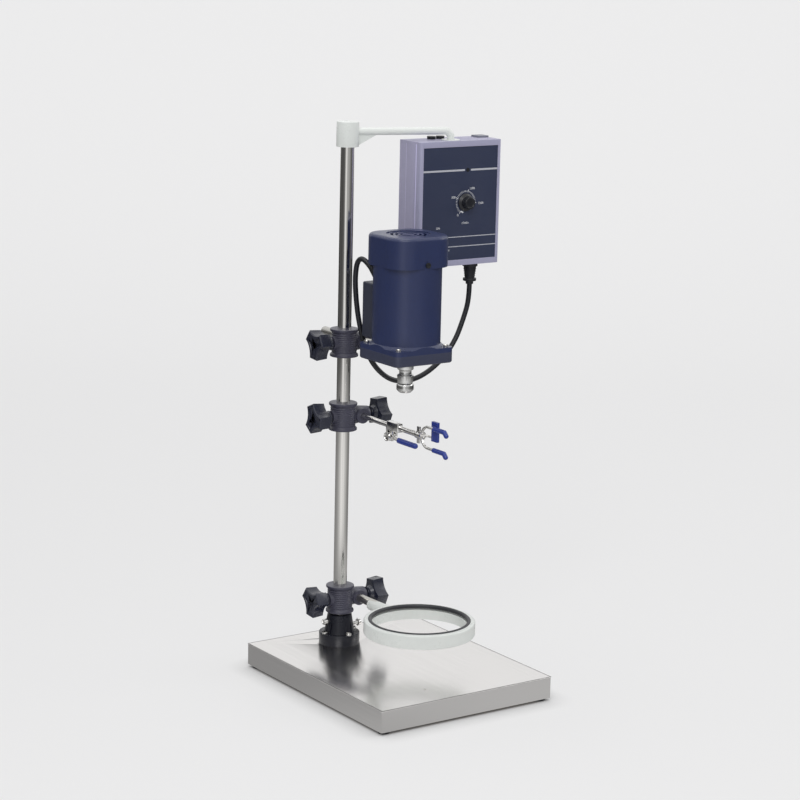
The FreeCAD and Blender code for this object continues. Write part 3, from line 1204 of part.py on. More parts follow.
def controller():
    """Two part case, panel, dial with its potentiometer, switch, sockets, fuses and board."""
    middle_x = box_left + box_width / 2
    bezel_back = box_front + bezel_depth
    case_depth = box_depth - bezel_depth
    case_y = bezel_back + case_depth / 2
    shell = rounded_block("Case", box_width, case_depth, box_height, box_corner, middle_x, case_y,
                          box_bottom)
    step_y = box_back - case_step_depth
    left_step = block(case_step, case_step_depth, box_height, box_left, step_y, box_bottom)
    right_step = block(case_step, case_step_depth, box_height, box_left + box_width - case_step,
                       step_y, box_bottom)
    left_groove = block(case_groove, case_groove_width, box_height, box_left, bezel_back,
                        box_bottom)
    right_groove = block(case_groove, case_groove_width, box_height,
                         box_left + box_width - case_groove, bezel_back, box_bottom)
    room = block(box_width - box_wall * 2 - case_step * 2, case_depth - box_wall,
                 box_height - box_wall * 2, box_left + box_wall + case_step, bezel_back,
                 box_bottom + box_wall)
    dial_x = box_left + dial_right
    dial_z = box_bottom + dial_up
    switch_x = box_left + switch_right
    switch_z = box_bottom + switch_up
    outlet_x = box_left + outlet_right
    outlet_y = box_front + outlet_back
    inlet_x = box_left + box_width - inlet_right
    inlet_z = box_bottom + inlet_up
    panel_front = box_front + panel_sink
    panel_back = panel_front + panel_thick
    fuses = [(box_left + fuse_right + fuse_pitch * turn, box_front + fuse_back)
             for turn in range(2)]
    corners_x = [box_left + case_screw_inset, box_left + box_width - case_screw_inset]
    corners_z = [box_bottom + case_screw_inset, box_top - case_screw_inset]
    spots = [(x, z) for x in corners_x for z in corners_z]
    pillars = [cylinder(pillar_radius, box_back - bezel_back, x, bezel_back, z, "y")
               for x, z in spots]
    screw_ways = [cylinder(screw_shank, box_depth * 2, x, box_front + panel_thick * 2, z, "y")
                  for x, z in spots]
    holes = [cylinder(arm_radius + fit, box_wall * 4, arm_end_x, arm_end_y, box_top - box_wall * 2),
             cylinder(outlet_body, box_wall * 4, outlet_x, outlet_y, box_bottom - box_wall)]
    holes += [cylinder(fuse_body, box_wall * 4, x, y, box_top - box_wall * 2) for x, y in fuses]
    holes.append(block(inlet_width - inlet_lip * 2, box_wall * 4, inlet_height - inlet_lip * 2,
                       inlet_x - inlet_width / 2 + inlet_lip, box_back - box_wall * 2,
                       inlet_z - inlet_height / 2 + inlet_lip))
    hollow = without(shell, left_step, right_step, left_groove, right_groove, room)
    body = joined(hollow, *pillars)
    piece(without(body, *holes, *screw_ways), "controller_case")

    rim = rounded_block("Bezel", box_width, bezel_depth, box_height, box_corner, middle_x,
                        box_front + bezel_depth / 2, box_bottom)
    window = block(box_width - bezel_side * 2, bezel_depth, box_height - bezel_end * 2,
                   box_left + bezel_side, box_front, box_bottom + bezel_end)
    rebate_x = box_left + box_wall
    rebate = block(box_width - box_wall * 2, bezel_depth, box_height - box_wall * 2, rebate_x,
                   panel_front + panel_thick / 2, box_bottom + box_wall)
    piece(without(rim, window, rebate), "controller_bezel")

    plate = block(box_width - bezel_side * 2, panel_thick, box_height - bezel_end * 2,
                  box_left + bezel_side, panel_front, box_bottom + bezel_end)
    back_plate = block(box_width - box_wall * 2, panel_thick / 2, box_height - box_wall * 2,
                       rebate_x, panel_front + panel_thick / 2, box_bottom + box_wall)
    panel_holes = [
        cylinder(pot_bushing, panel_thick * 4, dial_x, box_front - panel_thick, dial_z, "y"),
        block(switch_width, panel_thick * 4, switch_height, switch_x - switch_width / 2,
              box_front - panel_thick, switch_z - switch_height / 2)]
    piece(without(joined(plate, back_plate), *panel_holes), "control_panel")

    pot = joined(
        cylinder(pot_body, pot_depth, dial_x, panel_back, dial_z, "y"),
        cylinder(pot_bushing, panel_thick, dial_x, panel_front, dial_z, "y"),
        cylinder(pot_shaft, dial_gap + dial_height * 0.7, dial_x, panel_front, dial_z, "-y"))
    piece(pot, "speed_pot")
    skirt_back = panel_front - dial_gap
    knob = new_body("Dial")
    skirt = new_sketch(knob)
    ring_mark(skirt, 0, 0, dial_skirt)
    extrude(knob, "Pad", skirt, dial_skirt_thick)
    grip = new_sketch(knob)
    ring_mark(grip, 0, 0, dial_radius)
    extrude(knob, "Pad", grip, dial_height)
    dress(knob, "Fillet", dial_gap, at_level(dial_height))
    flute = new_sketch(knob, "XY_Plane", dial_skirt_thick)
    ring_mark(flute, dial_radius + dial_gap, 0, dial_gap * 2)
    cut = extrude(knob, "Pocket", flute, dial_height, True)
    polar(knob, cut, 16)
    hole = new_sketch(knob)
    ring_mark(hole, 0, 0, pot_shaft + fit)
    extrude(knob, "Pocket", hole, dial_height * 0.75, True)
    place(knob, dial_x, skirt_back, dial_z, TURNS["-y"])
    piece(knob, "speed_knob")

    frame_front = panel_front - switch_frame_lift
    outer_w = switch_width + switch_frame * 2
    outer_h = switch_height + switch_frame * 2
    frame_rim = block(outer_w, switch_frame_lift, outer_h, switch_x - outer_w / 2, frame_front,
                      switch_z - outer_h / 2)
    body_block = block(switch_width, switch_body_depth, switch_height,
                       switch_x - switch_width / 2, panel_front, switch_z - switch_height / 2)
    pivot_y = panel_front + rocker_pivot_depth
    cavity_w = switch_width - switch_frame * 2
    slot = cylinder(rocker_radius + running, cavity_w, switch_x - cavity_w / 2, pivot_y, switch_z,
                    "x")
    opening = block(cavity_w, pivot_y - frame_front, (rocker_radius + running) * 2,
                    switch_x - cavity_w / 2, frame_front, switch_z - rocker_radius - running)
    housing = without(joined(frame_rim, body_block), slot, opening)
    pin = cylinder(rocker_pin, switch_width, switch_x - switch_width / 2, pivot_y, switch_z, "x")
    piece(joined(housing, pin), "switch_housing")
    rocker_w = cavity_w - running * 2
    drum = cylinder(rocker_radius, rocker_w, switch_x - rocker_w / 2, pivot_y, switch_z, "x")
    behind = block(rocker_w * 2, rocker_radius * 2, rocker_radius * 4, switch_x - rocker_w,
                   pivot_y + rocker_rise, switch_z - rocker_radius * 2)
    dish = cylinder(rocker_radius * 2, rocker_w * 2, switch_x - rocker_w,
                    pivot_y - rocker_radius * 2 - rocker_rise, switch_z, "x")
    pin_room = cylinder(rocker_pin + fit, rocker_w * 2, switch_x - rocker_w, pivot_y, switch_z,
                        "x")
    piece(without(drum, behind, dish, pin_room), "power_rocker")

    screws = []
    for x, z in spots:
        head = cylinder(screw_head, screw_head_height, x, box_back, z, "y")
        stem = cylinder(screw_shank, box_depth - bezel_depth, x, bezel_back, z, "y")
        screws.append(joined(head, stem))
    piece(joined(*screws), "case_screws")

    collar = cylinder(outlet_radius, outlet_height, outlet_x, outlet_y, box_bottom, "-z")
    inner = cylinder(outlet_body, outlet_body_depth, outlet_x, outlet_y, box_bottom)
    piece(joined(collar, inner), "motor_outlet")
    plug_z = box_bottom - outlet_height
    taper = cone(plug_top, plug_low, plug_length, outlet_x, outlet_y, plug_z, "-z")
    bead = cylinder(plug_ring, plug_ring_height, outlet_x, outlet_y, plug_z - plug_length, "-z")
    tail = cylinder(plug_tail, plug_tail_length, outlet_x, outlet_y,
                    plug_z - plug_length - plug_ring_height, "-z")
    piece(joined(taper, bead, tail), "motor_plug")

    caps = []
    for x, y in fuses:
        cap = cylinder(fuse_radius, fuse_lift, x, y, box_top)
        slot = block(fuse_radius * 2, fuse_lift / 4, fuse_lift, x - fuse_radius,
                     y - fuse_lift / 8, box_top + fuse_lift * 0.7)
        holder = cylinder(fuse_body, fuse_depth, x, y, box_top, "-z")
        caps.append(joined(without(cap, slot), holder))
    piece(joined(*caps), "fuse_holders")

    lip = block(inlet_width, inlet_lip, inlet_height, inlet_x - inlet_width / 2, box_back,
                inlet_z - inlet_height / 2)
    well_w = inlet_width - inlet_lip * 2
    well_h = inlet_height - inlet_lip * 2
    well = block(well_w, inlet_depth, well_h, inlet_x - well_w / 2, box_back - inlet_depth,
                 inlet_z - well_h / 2)
    room_w = well_w - inlet_lip * 2
    room_h = well_h - inlet_lip * 2
    hollow = block(room_w, inlet_depth, room_h, inlet_x - room_w / 2,
                   box_back - inlet_depth + inlet_lip * 2, inlet_z - room_h / 2)
    blades = [block(inlet_lip, inlet_depth * 0.6, inlet_lip * 2,
                    inlet_x - inlet_lip / 2 + inlet_lip * 3 * turn,
                    box_back - inlet_depth + inlet_lip, inlet_z - inlet_lip)
              for turn in (-1, 0, 1)]
    piece(joined(without(joined(lip, well), hollow), *blades), "power_inlet")

    board_y = box_back - box_wall - board_stand - board_thick
    board_z = box_top - fuse_depth - board_gap - board_height
    board = block(board_width, board_thick, board_height, middle_x - board_width / 2, board_y,
                  board_z)
    posts = [cylinder(pillar_radius / 2, board_stand, middle_x + i * (board_width / 2 - 6),
                      board_y + board_thick, board_z + board_height / 2
                      + j * (board_height / 2 - 6), "y") for i, j in SIGNS]
    transformer = block(board_width * 0.35, board_stand * 2.2, board_height * 0.28,
                        middle_x - board_width * 0.42, board_y - board_stand * 2.2,
                        board_z + board_height * 0.62)
    sink = block(board_width * 0.4, board_stand * 1.6, board_height * 0.3,
                 middle_x + board_width * 0.05, board_y - board_stand * 1.6,
                 board_z + board_height * 0.64)
    cans = [cylinder(board_stand * 0.7, board_stand * 2, middle_x + board_width * share,
                     board_y, board_z + board_height * 0.2, "-y") for share in (-0.36, 0.38)]
    piece(joined(board, *posts, transformer, sink, *cans), "circuit_board")
    return (outlet_x, outlet_y, plug_z - plug_length - plug_ring_height - plug_tail_length)


def motor_cord(plug_end, gland):
    """Cord from the controller's plug to the motor's grommet, with its slack hanging."""
    start = FreeCAD.Vector(*[part.number for part in plug_end])
    doc.recompute()
    outward = gland.Placement.Rotation.multVec(FreeCAD.Vector(0, 0, 1))
    finish = gland.Placement.Base + outward * (grommet_length + housing_wall).number
    spots = [start, start + FreeCAD.Vector(0, 0, -22)]
    for x, y, z in ((152, 72, 494), (136, 70.5, 460), (107, 69, 431), (68, 67.5, 412.5),
                    (28, 66.5, 414), (-3, 66.5, 438), (-20, 66.5, 470), (-30.5, 67, 508),
                    (-35, 68, 545), (-36.5, 67, 570), (-37, 61, 590)):
        spots.append(FreeCAD.Vector(x, y, z))
    spots.append(finish + outward * 15)
    spots.append(finish)
    thing, radii, run = tube_path("Cord", cord_radius.number, spots)
    piece(thing, "motor_cord")
    section = math.pi * cord_radius.number ** 2
    print("cord length", round(run, 1), "volume over section times length",
          round(thing.Shape.Volume / section / run, 4))
    print("cord bend radii", [round(radius, 1) for radius in radii])


base()
pole_stand()
clamp_bosses()
gland_cone = motor()
chuck()
three_finger_clamp()
flask_ring()
cord_start = controller()
motor_cord(cord_start, gland_cone)
doc.recompute()

for thing in doc.Objects:
    if "Invalid" in thing.State or "Error" in thing.State:
        raise RuntimeError(f"{thing.Name} ({thing.Label}) failed: {thing.State}")
for thing in pieces:
    if thing.Shape.isNull() or not thing.Shape.isValid():
        raise RuntimeError(f"{thing.Label} has no valid shape")

os.makedirs("parts", exist_ok=True)
for thing in pieces:
    thing.Shape.exportStep(f"parts/{thing.Label}.step")
print(len(pieces), "nodes")
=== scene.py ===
import json
import math

import bpy
from mathutils import Matrix, Vector


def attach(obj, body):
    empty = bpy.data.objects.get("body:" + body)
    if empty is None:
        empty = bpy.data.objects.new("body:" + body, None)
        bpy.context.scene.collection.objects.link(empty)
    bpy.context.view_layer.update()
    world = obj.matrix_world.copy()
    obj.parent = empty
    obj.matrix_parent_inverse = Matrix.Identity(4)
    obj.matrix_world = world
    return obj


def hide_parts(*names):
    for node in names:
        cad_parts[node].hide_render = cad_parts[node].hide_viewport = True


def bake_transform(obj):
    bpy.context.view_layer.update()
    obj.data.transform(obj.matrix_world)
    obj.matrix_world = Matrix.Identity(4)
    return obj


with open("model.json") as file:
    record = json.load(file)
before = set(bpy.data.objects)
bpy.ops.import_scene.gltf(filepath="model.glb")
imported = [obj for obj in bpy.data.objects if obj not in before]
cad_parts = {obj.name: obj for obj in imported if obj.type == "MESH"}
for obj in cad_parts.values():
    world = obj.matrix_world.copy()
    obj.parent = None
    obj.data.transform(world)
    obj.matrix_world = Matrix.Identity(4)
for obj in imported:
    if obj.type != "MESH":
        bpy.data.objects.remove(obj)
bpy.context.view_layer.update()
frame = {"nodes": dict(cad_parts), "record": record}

bl_info = {
    "name": "Bench Stirrer Finishes",
    "version": (1, 0, 0),
    "blender": (4, 5, 0),
    "location": "View3D > Sidebar > Stirrer",
    "description": "Finishes, cord, knobs, dial print and studio for a bench stirrer",
    "category": "Object",
}

MM = 0.001
MERGE = 0.000002
ORIGIN = (0.0, 0.0, 0.0)


# Settings that a user would change

def colour(label, text, value):
    return bpy.props.FloatVectorProperty(name=label, description=text, subtype="COLOR", size=3,
                                         min=0.0, max=1.0, default=value)


def length(label, text, value, low, high):
    return bpy.props.FloatProperty(name=label, description=text, subtype="DISTANCE",
                                   unit="LENGTH", default=value, min=low, max=high)


def spot(label, text, value):
    return bpy.props.FloatVectorProperty(name=label, description=text, subtype="TRANSLATION",
                                         unit="LENGTH", size=len(value), default=value)


def turn(label, text, degrees):
    return bpy.props.FloatProperty(name=label, description=text, subtype="ANGLE",
                                   default=math.radians(degrees))


def number(label, text, value, low, high, digits=2):
    return bpy.props.FloatProperty(name=label, description=text, default=value, min=low,
                                   max=high, precision=digits)


class StirrerFinishes(bpy.types.PropertyGroup):
    """Colours of the stirrer's surfaces."""

    motor_navy: colour("Motor enamel", "Dark blue enamel of the motor and its fan cover",
                       (0.020, 0.031, 0.100))
    bezel_lilac: colour("Bezel enamel", "Pale lilac enamel of the controller's front frame",
                        (0.385, 0.38, 0.525))
    case_lilac: colour("Case enamel", "Greyer lilac enamel of the controller's case",
                       (0.40, 0.385, 0.53))
    panel_ink: colour("Panel", "Dark printed front panel", (0.032, 0.041, 0.084))
    pale_enamel: colour("Pale enamel", "Pale grey enamel of the cap, the arm and the ring",
                        (0.82, 0.85, 0.82))
    casting: colour("Casting", "Grey black coat of the bosses", (0.060, 0.059, 0.092))
    knob_black: colour("Knob plastic", "Blue black moulded plastic of the knobs",
                       (0.019, 0.022, 0.042))
    sleeve_blue: colour("Sleeve", "Blue soft sleeves of the finger clamp", (0.016, 0.042, 0.30))


class StirrerSizes(bpy.types.PropertyGroup):
    """Sizes of what the scene adds to the solids."""

    cord_width: length("Cord diameter", "Outer diameter of the motor's cord",
                       0.0072, 0.003, 0.015)
    print_lift: length("Print", "Thickness of the print on the panel", 0.00015, 0.00005, 0.0005)
    knob_rim: length("Knob rim", "Width of the raised rim on a knob's end", 0.0030, 0.0005, 0.006)
    knob_sink: length("Knob sink", "Depth of the sunk end of a knob", 0.0014, 0.0, 0.004)
    knob_edge: length("Knob edge", "Width of the soft edges on a knob", 0.0010, 0.0, 0.002)
    socket_area: number("Head area", "Smallest end face that counts as a screw head, in m2",
                        0.000008, 0.0, 1.0, 6)
    socket_rim: length("Head rim", "Rim left about a screw's driving recess",
                       0.0012, 0.0003, 0.003)
    socket_depth: length("Head recess", "Depth of a screw's driving recess", 0.0010, 0.0, 0.003)
    screw_edge: length("Screw edge", "Width of the soft edges on a screw head",
                       0.00035, 0.0, 0.001)
    cover_level: length("Cover level", "Height above which the motor's screws are blacked",
                        0.585, 0.4, 0.8)
    gasket_line: spot("Gasket", "Middle of the ring's soft band", (0.0, -0.052, 0.1046))
    gasket_radius: length("Gasket radius", "Radius of the soft band's middle line",
                          0.0679, 0.05, 0.08)
    gasket_round: length("Gasket section", "Half the thickness of the soft band",
                         0.0030, 0.001, 0.005)
    boss_waist: length("Boss waist", "Radius of a boss between its lips", 0.0173, 0.012, 0.02)
    ring_lift: length("Ring lift", "How far the turned rings stand out of a boss",
                      0.00045, 0.0, 0.001)
    ring_pitch: length("Ring pitch", "Distance between the turned rings of a boss",
                       0.0029, 0.001, 0.006)
    pole_line: spot("Pole", "Where the pole stands on the base", (-0.024, 0.1105))
    dial_centre: spot("Dial", "Middle of the dial on the panel's front",
                      (0.134, 0.05073, 0.6605))
    dial_height: length("Dial height", "How far the dial stands out of the panel",
                        0.0120, 0.006, 0.03)
    dial_skirt: length("Dial skirt", "Radius of the dial's skirt", 0.0125, 0.009, 0.015)
    dial_grip: length("Dial grip", "Radius of the dial's fluted grip", 0.0088, 0.005, 0.012)
    pointer_angle: turn("Pointer", "Where the dial's pointer stands, from the right upwards",
                        245.0)
    scale_start: number("Scale start", "Angle of the first tick in degrees", 236.0, 180.0, 300.0)
    scale_step: number("Scale step", "Angle between ticks in degrees", 8.0, 5.0, 30.0)
    stop_angle: number("Stop mark", "Angle of the broad mark where the scale is off, in degrees",
                       246.0, 200.0, 340.0)
    tick_radius: length("Tick radius", "Radius at which the scale's ticks start",
                        0.0143, 0.012, 0.02)
    tick_length: length("Tick length", "Mean length of the scale's ticks",
                        0.0030, 0.001, 0.006)


class StirrerStudio(bpy.types.PropertyGroup):
    """Camera and light."""

    camera_place: spot("Camera", "Place of the camera", (-1.822593, -2.623907, 1.074638))
    camera_heading: turn("Heading", "Turn of the camera about the vertical, from +Y", -34.72)
    camera_tilt: turn("Tilt", "How far the camera looks down", 11.867)
    camera_roll: turn("Roll", "Turn of the camera about its own axis", 1.266)
    lens: number("Lens", "Focal length in millimetres on a 36 mm sensor", 108.0, 20.0, 400.0)
    room_light: number("Room", "Strength of the even light of the room", 0.62, 0.0, 3.0)


def finishes():
    return bpy.context.scene.stirrer_finishes


def sizes():
    return bpy.context.scene.stirrer_sizes


def studio():
    return bpy.context.scene.stirrer_studio


# Modelling helpers

def deselect():
    if bpy.context.object and bpy.context.object.mode != "OBJECT":
        bpy.ops.object.mode_set(mode="OBJECT")
    bpy.ops.object.select_all(action="DESELECT")


def make_active(piece):
    deselect()
    piece.select_set(True)
    bpy.context.view_layer.objects.active = piece


def new_object(name, data):
    """A scene object that holds a mesh, curve, lamp or camera."""
    thing = bpy.data.objects.new(name, data)
    bpy.context.scene.collection.objects.link(thing)
    return thing


def edit(piece, action="SELECT"):
    """Edit mode on a piece, with all of it selected or none."""
    make_active(piece)
    bpy.ops.object.mode_set(mode="EDIT")
    bpy.ops.mesh.select_all(action=action)


def end_edit():
    bpy.ops.object.mode_set(mode="OBJECT")


def primitive(add, **options):
    """Edit mode on a new primitive at the origin, all selected."""
    deselect()
    add(location=ORIGIN, **options)
    piece = bpy.context.object
    edit(piece)
    return piece


def settle(piece, place):
    """Bring a place into a piece's mesh, so that its object sits at the origin."""
    piece.matrix_world = place
    make_active(piece)
    bpy.ops.object.transform_apply(location=True, rotation=True, scale=True)
    return piece


def outward(piece):
    """Merge doubles and turn the faces outwards."""
    edit(piece)
    bpy.ops.mesh.remove_doubles(threshold=MERGE)
    bpy.ops.mesh.normals_make_consistent(inside=False)
    end_edit()
    return piece


def smooth(piece, degrees=32):
    make_active(piece)
    bpy.ops.object.shade_smooth_by_angle(angle=math.radians(degrees))


def bevel_edges(piece, width, segments=2, degrees=30):
    modifier = piece.modifiers.new("Soft edges", "BEVEL")
    modifier.width = width
    modifier.segments = segments
    modifier.limit_method = "ANGLE"
    modifier.angle_limit = math.radians(degrees)
    modifier.use_clamp_overlap = True
    make_active(piece)
    bpy.ops.object.modifier_apply(modifier=modifier.name)


def node_copy(node):
    """A copy of a solid's mesh, merged and with its flat faces joined."""
    source = frame["nodes"][node]
    piece = new_object(node + "_soft", source.data.copy())
    piece.data.materials.clear()
    make_active(piece)
    if piece.data.has_custom_normals:
        bpy.ops.mesh.customdata_custom_splitnormals_clear()
    edit(piece)
    bpy.ops.mesh.remove_doubles(threshold=MERGE)
    bpy.ops.mesh.dissolve_limited(angle_limit=math.radians(1.0))
    end_edit()
    return piece


def node_span(node):
    """The lowest and highest corner of a solid."""
    source = frame["nodes"][node]
    corners = [source.matrix_world @ Vector(corner) for corner in source.bound_box]
    return [Vector(pick(axis) for axis in zip(*corners)) for pick in (min, max)]


def select_faces(piece, chosen):
    """Edit mode on a piece with only the faces that pass a test selected."""
    edit(piece, "DESELECT")
    bpy.ops.mesh.select_mode(type="FACE")
    end_edit()
    for face in piece.data.polygons:
        face.select = chosen(face)
    bpy.ops.object.mode_set(mode="EDIT")


def extrude(offset):
    bpy.ops.mesh.extrude_region_move(TRANSFORM_OT_translate={"value": offset})


def turned(name, stations, place, vertices=64, flutes=0, flute_share=0.94, filled=True):
    """A turned piece from stations of radius, height and whether the station is fluted."""
    radius, height = stations[0][:2]
    piece = primitive(bpy.ops.mesh.primitive_circle_add, vertices=vertices, radius=radius,
                      fill_type="NGON" if filled else "NOTHING")
    piece.name = name
    bpy.ops.transform.translate(value=(0.0, 0.0, height))
    for station in stations[1:]:
        extrude((0.0, 0.0, station[1] - height))
        share = station[0] / radius
        bpy.ops.transform.resize(value=(share, share, 1.0),
                                 center_override=(0.0, 0.0, station[1]))
        radius, height = station[:2]
    end_edit()
    if flutes:
        levels = [station[1] for station in stations if len(station) > 2]
        for vertex in piece.data.vertices:
            share = math.atan2(vertex.co.y, vertex.co.x) / math.tau * flutes
            vertex.select = (share - math.floor(share) < 0.45
                             and any(abs(vertex.co.z - level) < 0.00001 for level in levels))
        for kind in (piece.data.edges, piece.data.polygons):
            for part in kind:
                part.select = all(piece.data.vertices[i].select for i in part.vertices)
        bpy.ops.object.mode_set(mode="EDIT")
        bpy.ops.mesh.select_mode(type="VERT")
        bpy.ops.transform.resize(value=(flute_share, flute_share, 1.0), center_override=ORIGIN)
        end_edit()
    return settle(outward(piece), place)


def front_place(x, z, y):
    """Place of a flat thing on a front face: its own up axis turns to the viewer."""
    return Matrix.Translation((x, y, z)) @ Matrix.Rotation(math.radians(90.0), 4, "X")


def round_place(centre, heading, reach, y):
    """Place on a front face at a heading and distance from a centre."""
    return front_place(centre.x + math.cos(heading) * reach,
                       centre.z + math.sin(heading) * reach, y)


def slab(width, height, place, spin=0.0):
    """A thin printed bar."""
    piece = primitive(bpy.ops.mesh.primitive_plane_add, size=1.0)
    bpy.ops.transform.resize(value=(width, height, 1.0), center_override=ORIGIN)
    extrude((0.0, 0.0, sizes().print_lift))
    end_edit()
    return outward(settle(piece, place @ Matrix.Rotation(spin, 4, "Z")))


def block(low, high, edge):
    """A bar or plate between two corners, with soft edges."""
    low, high = Vector(low), Vector(high)
    piece = primitive(bpy.ops.mesh.primitive_cube_add, size=1.0)
    bpy.ops.transform.resize(value=tuple(high - low), center_override=ORIGIN)
    bpy.ops.transform.translate(value=tuple((high + low) / 2))
    end_edit()
    bevel_edges(piece, edge)
    return piece


def lettering(words, height, place):
    """Raised print of a word, number or unit, centred on its place."""
    deselect()
    bpy.ops.object.text_add(location=ORIGIN)
    text = bpy.context.object.data
    text.body = words
    text.size = height
    text.align_x = text.align_y = "CENTER"
    text.extrude = sizes().print_lift / 2
    text.resolution_u = 3
    bpy.ops.object.convert(target="MESH")
    return outward(settle(bpy.context.object, place))


def joined(name, parts):
    """Several pieces made one."""
    deselect()
    for part in parts:
        part.select_set(True)
    bpy.context.view_layer.objects.active = parts[0]
    bpy.ops.object.join()
    parts[0].name = name
    return parts[0]


BODY_OF = {node: body for body, nodes in frame["record"]["behaviour"]["bodies"].items()
           for node in nodes}


def finish_piece(piece, finish, node):
    """Give a piece its material and the body of a node."""
    piece.data.materials.clear()
    piece.data.materials.append(materials[finish])
    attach(piece, BODY_OF[node])


def stand_in(piece, node, degrees):
    """Smooth and finish a piece as a node, and let it take the node's place."""
    smooth(piece, degrees)
    finish_piece(piece, NODE_FINISH[node], node)
    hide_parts(node)


# Shader helpers: new nodes go into the tree of the output that feeds them

def feed(node, key, value):
    """Link an output to a node's input, or set the input to a constant."""
    if isinstance(value, bpy.types.NodeSocket):
        node.id_data.links.new(value, node.inputs[key])
    else:
        node.inputs[key].default_value = value


def add_node(tree, kind, inputs, **settings):
    node = tree.nodes.new("ShaderNode" + kind)
    for name, value in settings.items():
        setattr(node, name, value)
    for key, value in inputs.items():
        feed(node, key, value)
    return node


def compute(operation, *values, clamp=False):
    tree = next(value for value in values if isinstance(value, bpy.types.NodeSocket)).id_data
    return add_node(tree, "Math", dict(enumerate(values)), operation=operation,
                    use_clamp=clamp).outputs[0]


def noise(vector, scale, detail, roughness):
    return add_node(vector.id_data, "TexNoise", {
        "Vector": vector, "Scale": scale, "Detail": detail, "Roughness": roughness}).outputs["Fac"]


def mix_colours(factor, first, second):
    return add_node(factor.id_data, "Mix", {0: factor, 6: first, 7: second},
                    data_type="RGBA").outputs[2]


def axes_of(vector):
    return add_node(vector.id_data, "SeparateXYZ", {0: vector}).outputs


def spread(value, low, high):
    """Map a mask to a range."""
    return add_node(value.id_data, "MapRange", {
        "From Min": 0.3, "From Max": 0.7, "To Min": low, "To Max": high,
        "Value": value}).outputs[0]


def between(value, start, end):
    """A mask that goes from 0 at one value to 1 at another."""
    return add_node(value.id_data, "MapRange", {
        "From Min": start, "From Max": end, "Value": value},
        interpolation_type="SMOOTHSTEP").outputs[0]


def towards(mask, value, target):
    """Draw a value to a target by a mask."""
    kept = compute("MULTIPLY", value, compute("SUBTRACT", 1.0, mask))
    return compute("ADD", kept, compute("MULTIPLY", mask, target))


def relief(shader, height, strength, distance):
    bump = add_node(shader.id_data, "Bump", {"Strength": strength, "Distance": distance,
                                             "Height": height})
    feed(shader, "Normal", bump.outputs[0])


# Shared effects

def new_group(name, inputs, outputs):
    """A shader node group with named inputs and outputs."""
    group = bpy.data.node_groups.new(name, "ShaderNodeTree")
    for label, value in inputs.items():
        kind = {1: "Float", 3: "Vector", 4: "Color"}[len(value)]
        socket = group.interface.new_socket(name=label, in_out="INPUT",
                                            socket_type="NodeSocket" + kind)
        socket.default_value = value if len(value) > 1 else value[0]
    for label, kind in outputs.items():
        group.interface.new_socket(name=label, in_out="OUTPUT", socket_type="NodeSocket" + kind)
    return group, group.nodes.new("NodeGroupInput").outputs, group.nodes.new("NodeGroupOutput")


def coat_variation():
    """Soft variation of a colour, fine speckle and a little dust on what faces up."""
    group, given, leave = new_group("Coat variation", {
        "Vector": ORIGIN, "Colour": (0.5, 0.5, 0.5, 1.0), "Second Colour": (0.4, 0.4, 0.4, 1.0),
        "Dust Colour": (0.5, 0.49, 0.47, 1.0), "Scale": (30.0,), "Dust": (0.05,),
    }, {"Colour": "Color", "Patches": "Float"})
    broad = noise(given["Vector"], given["Scale"], 4.0, 0.6)
    fine = noise(given["Vector"], compute("MULTIPLY", given["Scale"], 9.0), 2.0, 0.6)
    both = compute("ADD", compute("MULTIPLY", broad, 0.7), compute("MULTIPLY", fine, 0.3))
    patches = compute("MULTIPLY_ADD", both, 2.2, -0.6, clamp=True)
    base = mix_colours(patches, given["Colour"], given["Second Colour"])
    normal = add_node(group, "NewGeometry", {}).outputs["Normal"]
    upward = compute("MULTIPLY", compute("MAXIMUM", axes_of(normal)[2], 0.0), given["Dust"])
    dust = compute("MULTIPLY", upward, broad, clamp=True)
    feed(leave, "Colour", mix_colours(dust, base, given["Dust Colour"]))
    feed(leave, "Patches", patches)
    return group


def brushed_grain():
    """Long fine scratches along one axis, as a mask for roughness, colour and height."""
    group, given, leave = new_group("Brushed grain", {
        "Vector": ORIGIN, "Stretch": (4.0, 900.0, 900.0)}, {"Grain": "Float", "Streaks": "Float"})
    fine = add_node(group, "VectorMath", {0: given["Vector"], 1: given["Stretch"]},
                    operation="MULTIPLY").outputs[0]
    wide = add_node(group, "VectorMath", {0: fine, 3: 0.09}, operation="SCALE").outputs[0]
    feed(leave, "Grain", noise(fine, 1.0, 4.0, 0.65))
    feed(leave, "Streaks", noise(wide, 1.0, 3.0, 0.55))
    return group


def coat_texture():
    """Height of an enamel's orange peel or a casting's grain."""
    group, given, leave = new_group("Coat texture", {
        "Vector": ORIGIN, "Scale": (700.0,), "Grain": (0.5,)}, {"Height": "Float"})
    soft = noise(given["Vector"], given["Scale"], 1.0, 0.4)
    grain = noise(given["Vector"], compute("MULTIPLY", given["Scale"], 4.0), 3.0, 0.6)
    feed(leave, "Height", compute("ADD", soft, compute("MULTIPLY", grain, given["Grain"])))
    return group


groups = {}


def effect(build, vector, **inputs):
    """Place a shared effect in the material whose vector it takes."""
    if build not in groups:
        groups[build] = build()
    return add_node(vector.id_data, "Group", {"Vector": vector, **inputs},
                    node_tree=groups[build]).outputs


# Materials

def shade(tone, factor=1.0):
    return tuple(min(1.0, channel * factor) for channel in tone[:3]) + (1.0,)


def start_material(name, roughness, metallic=0.0):
    material = bpy.data.materials.new(name.replace("_", " ").capitalize())
    material.use_nodes = True
    tree = material.node_tree
    shader = tree.nodes["Principled BSDF"]
    feed(shader, "Roughness", roughness)
    feed(shader, "Metallic", metallic)
    return material, shader, tree.nodes.new("ShaderNodeTexCoord").outputs["Object"]


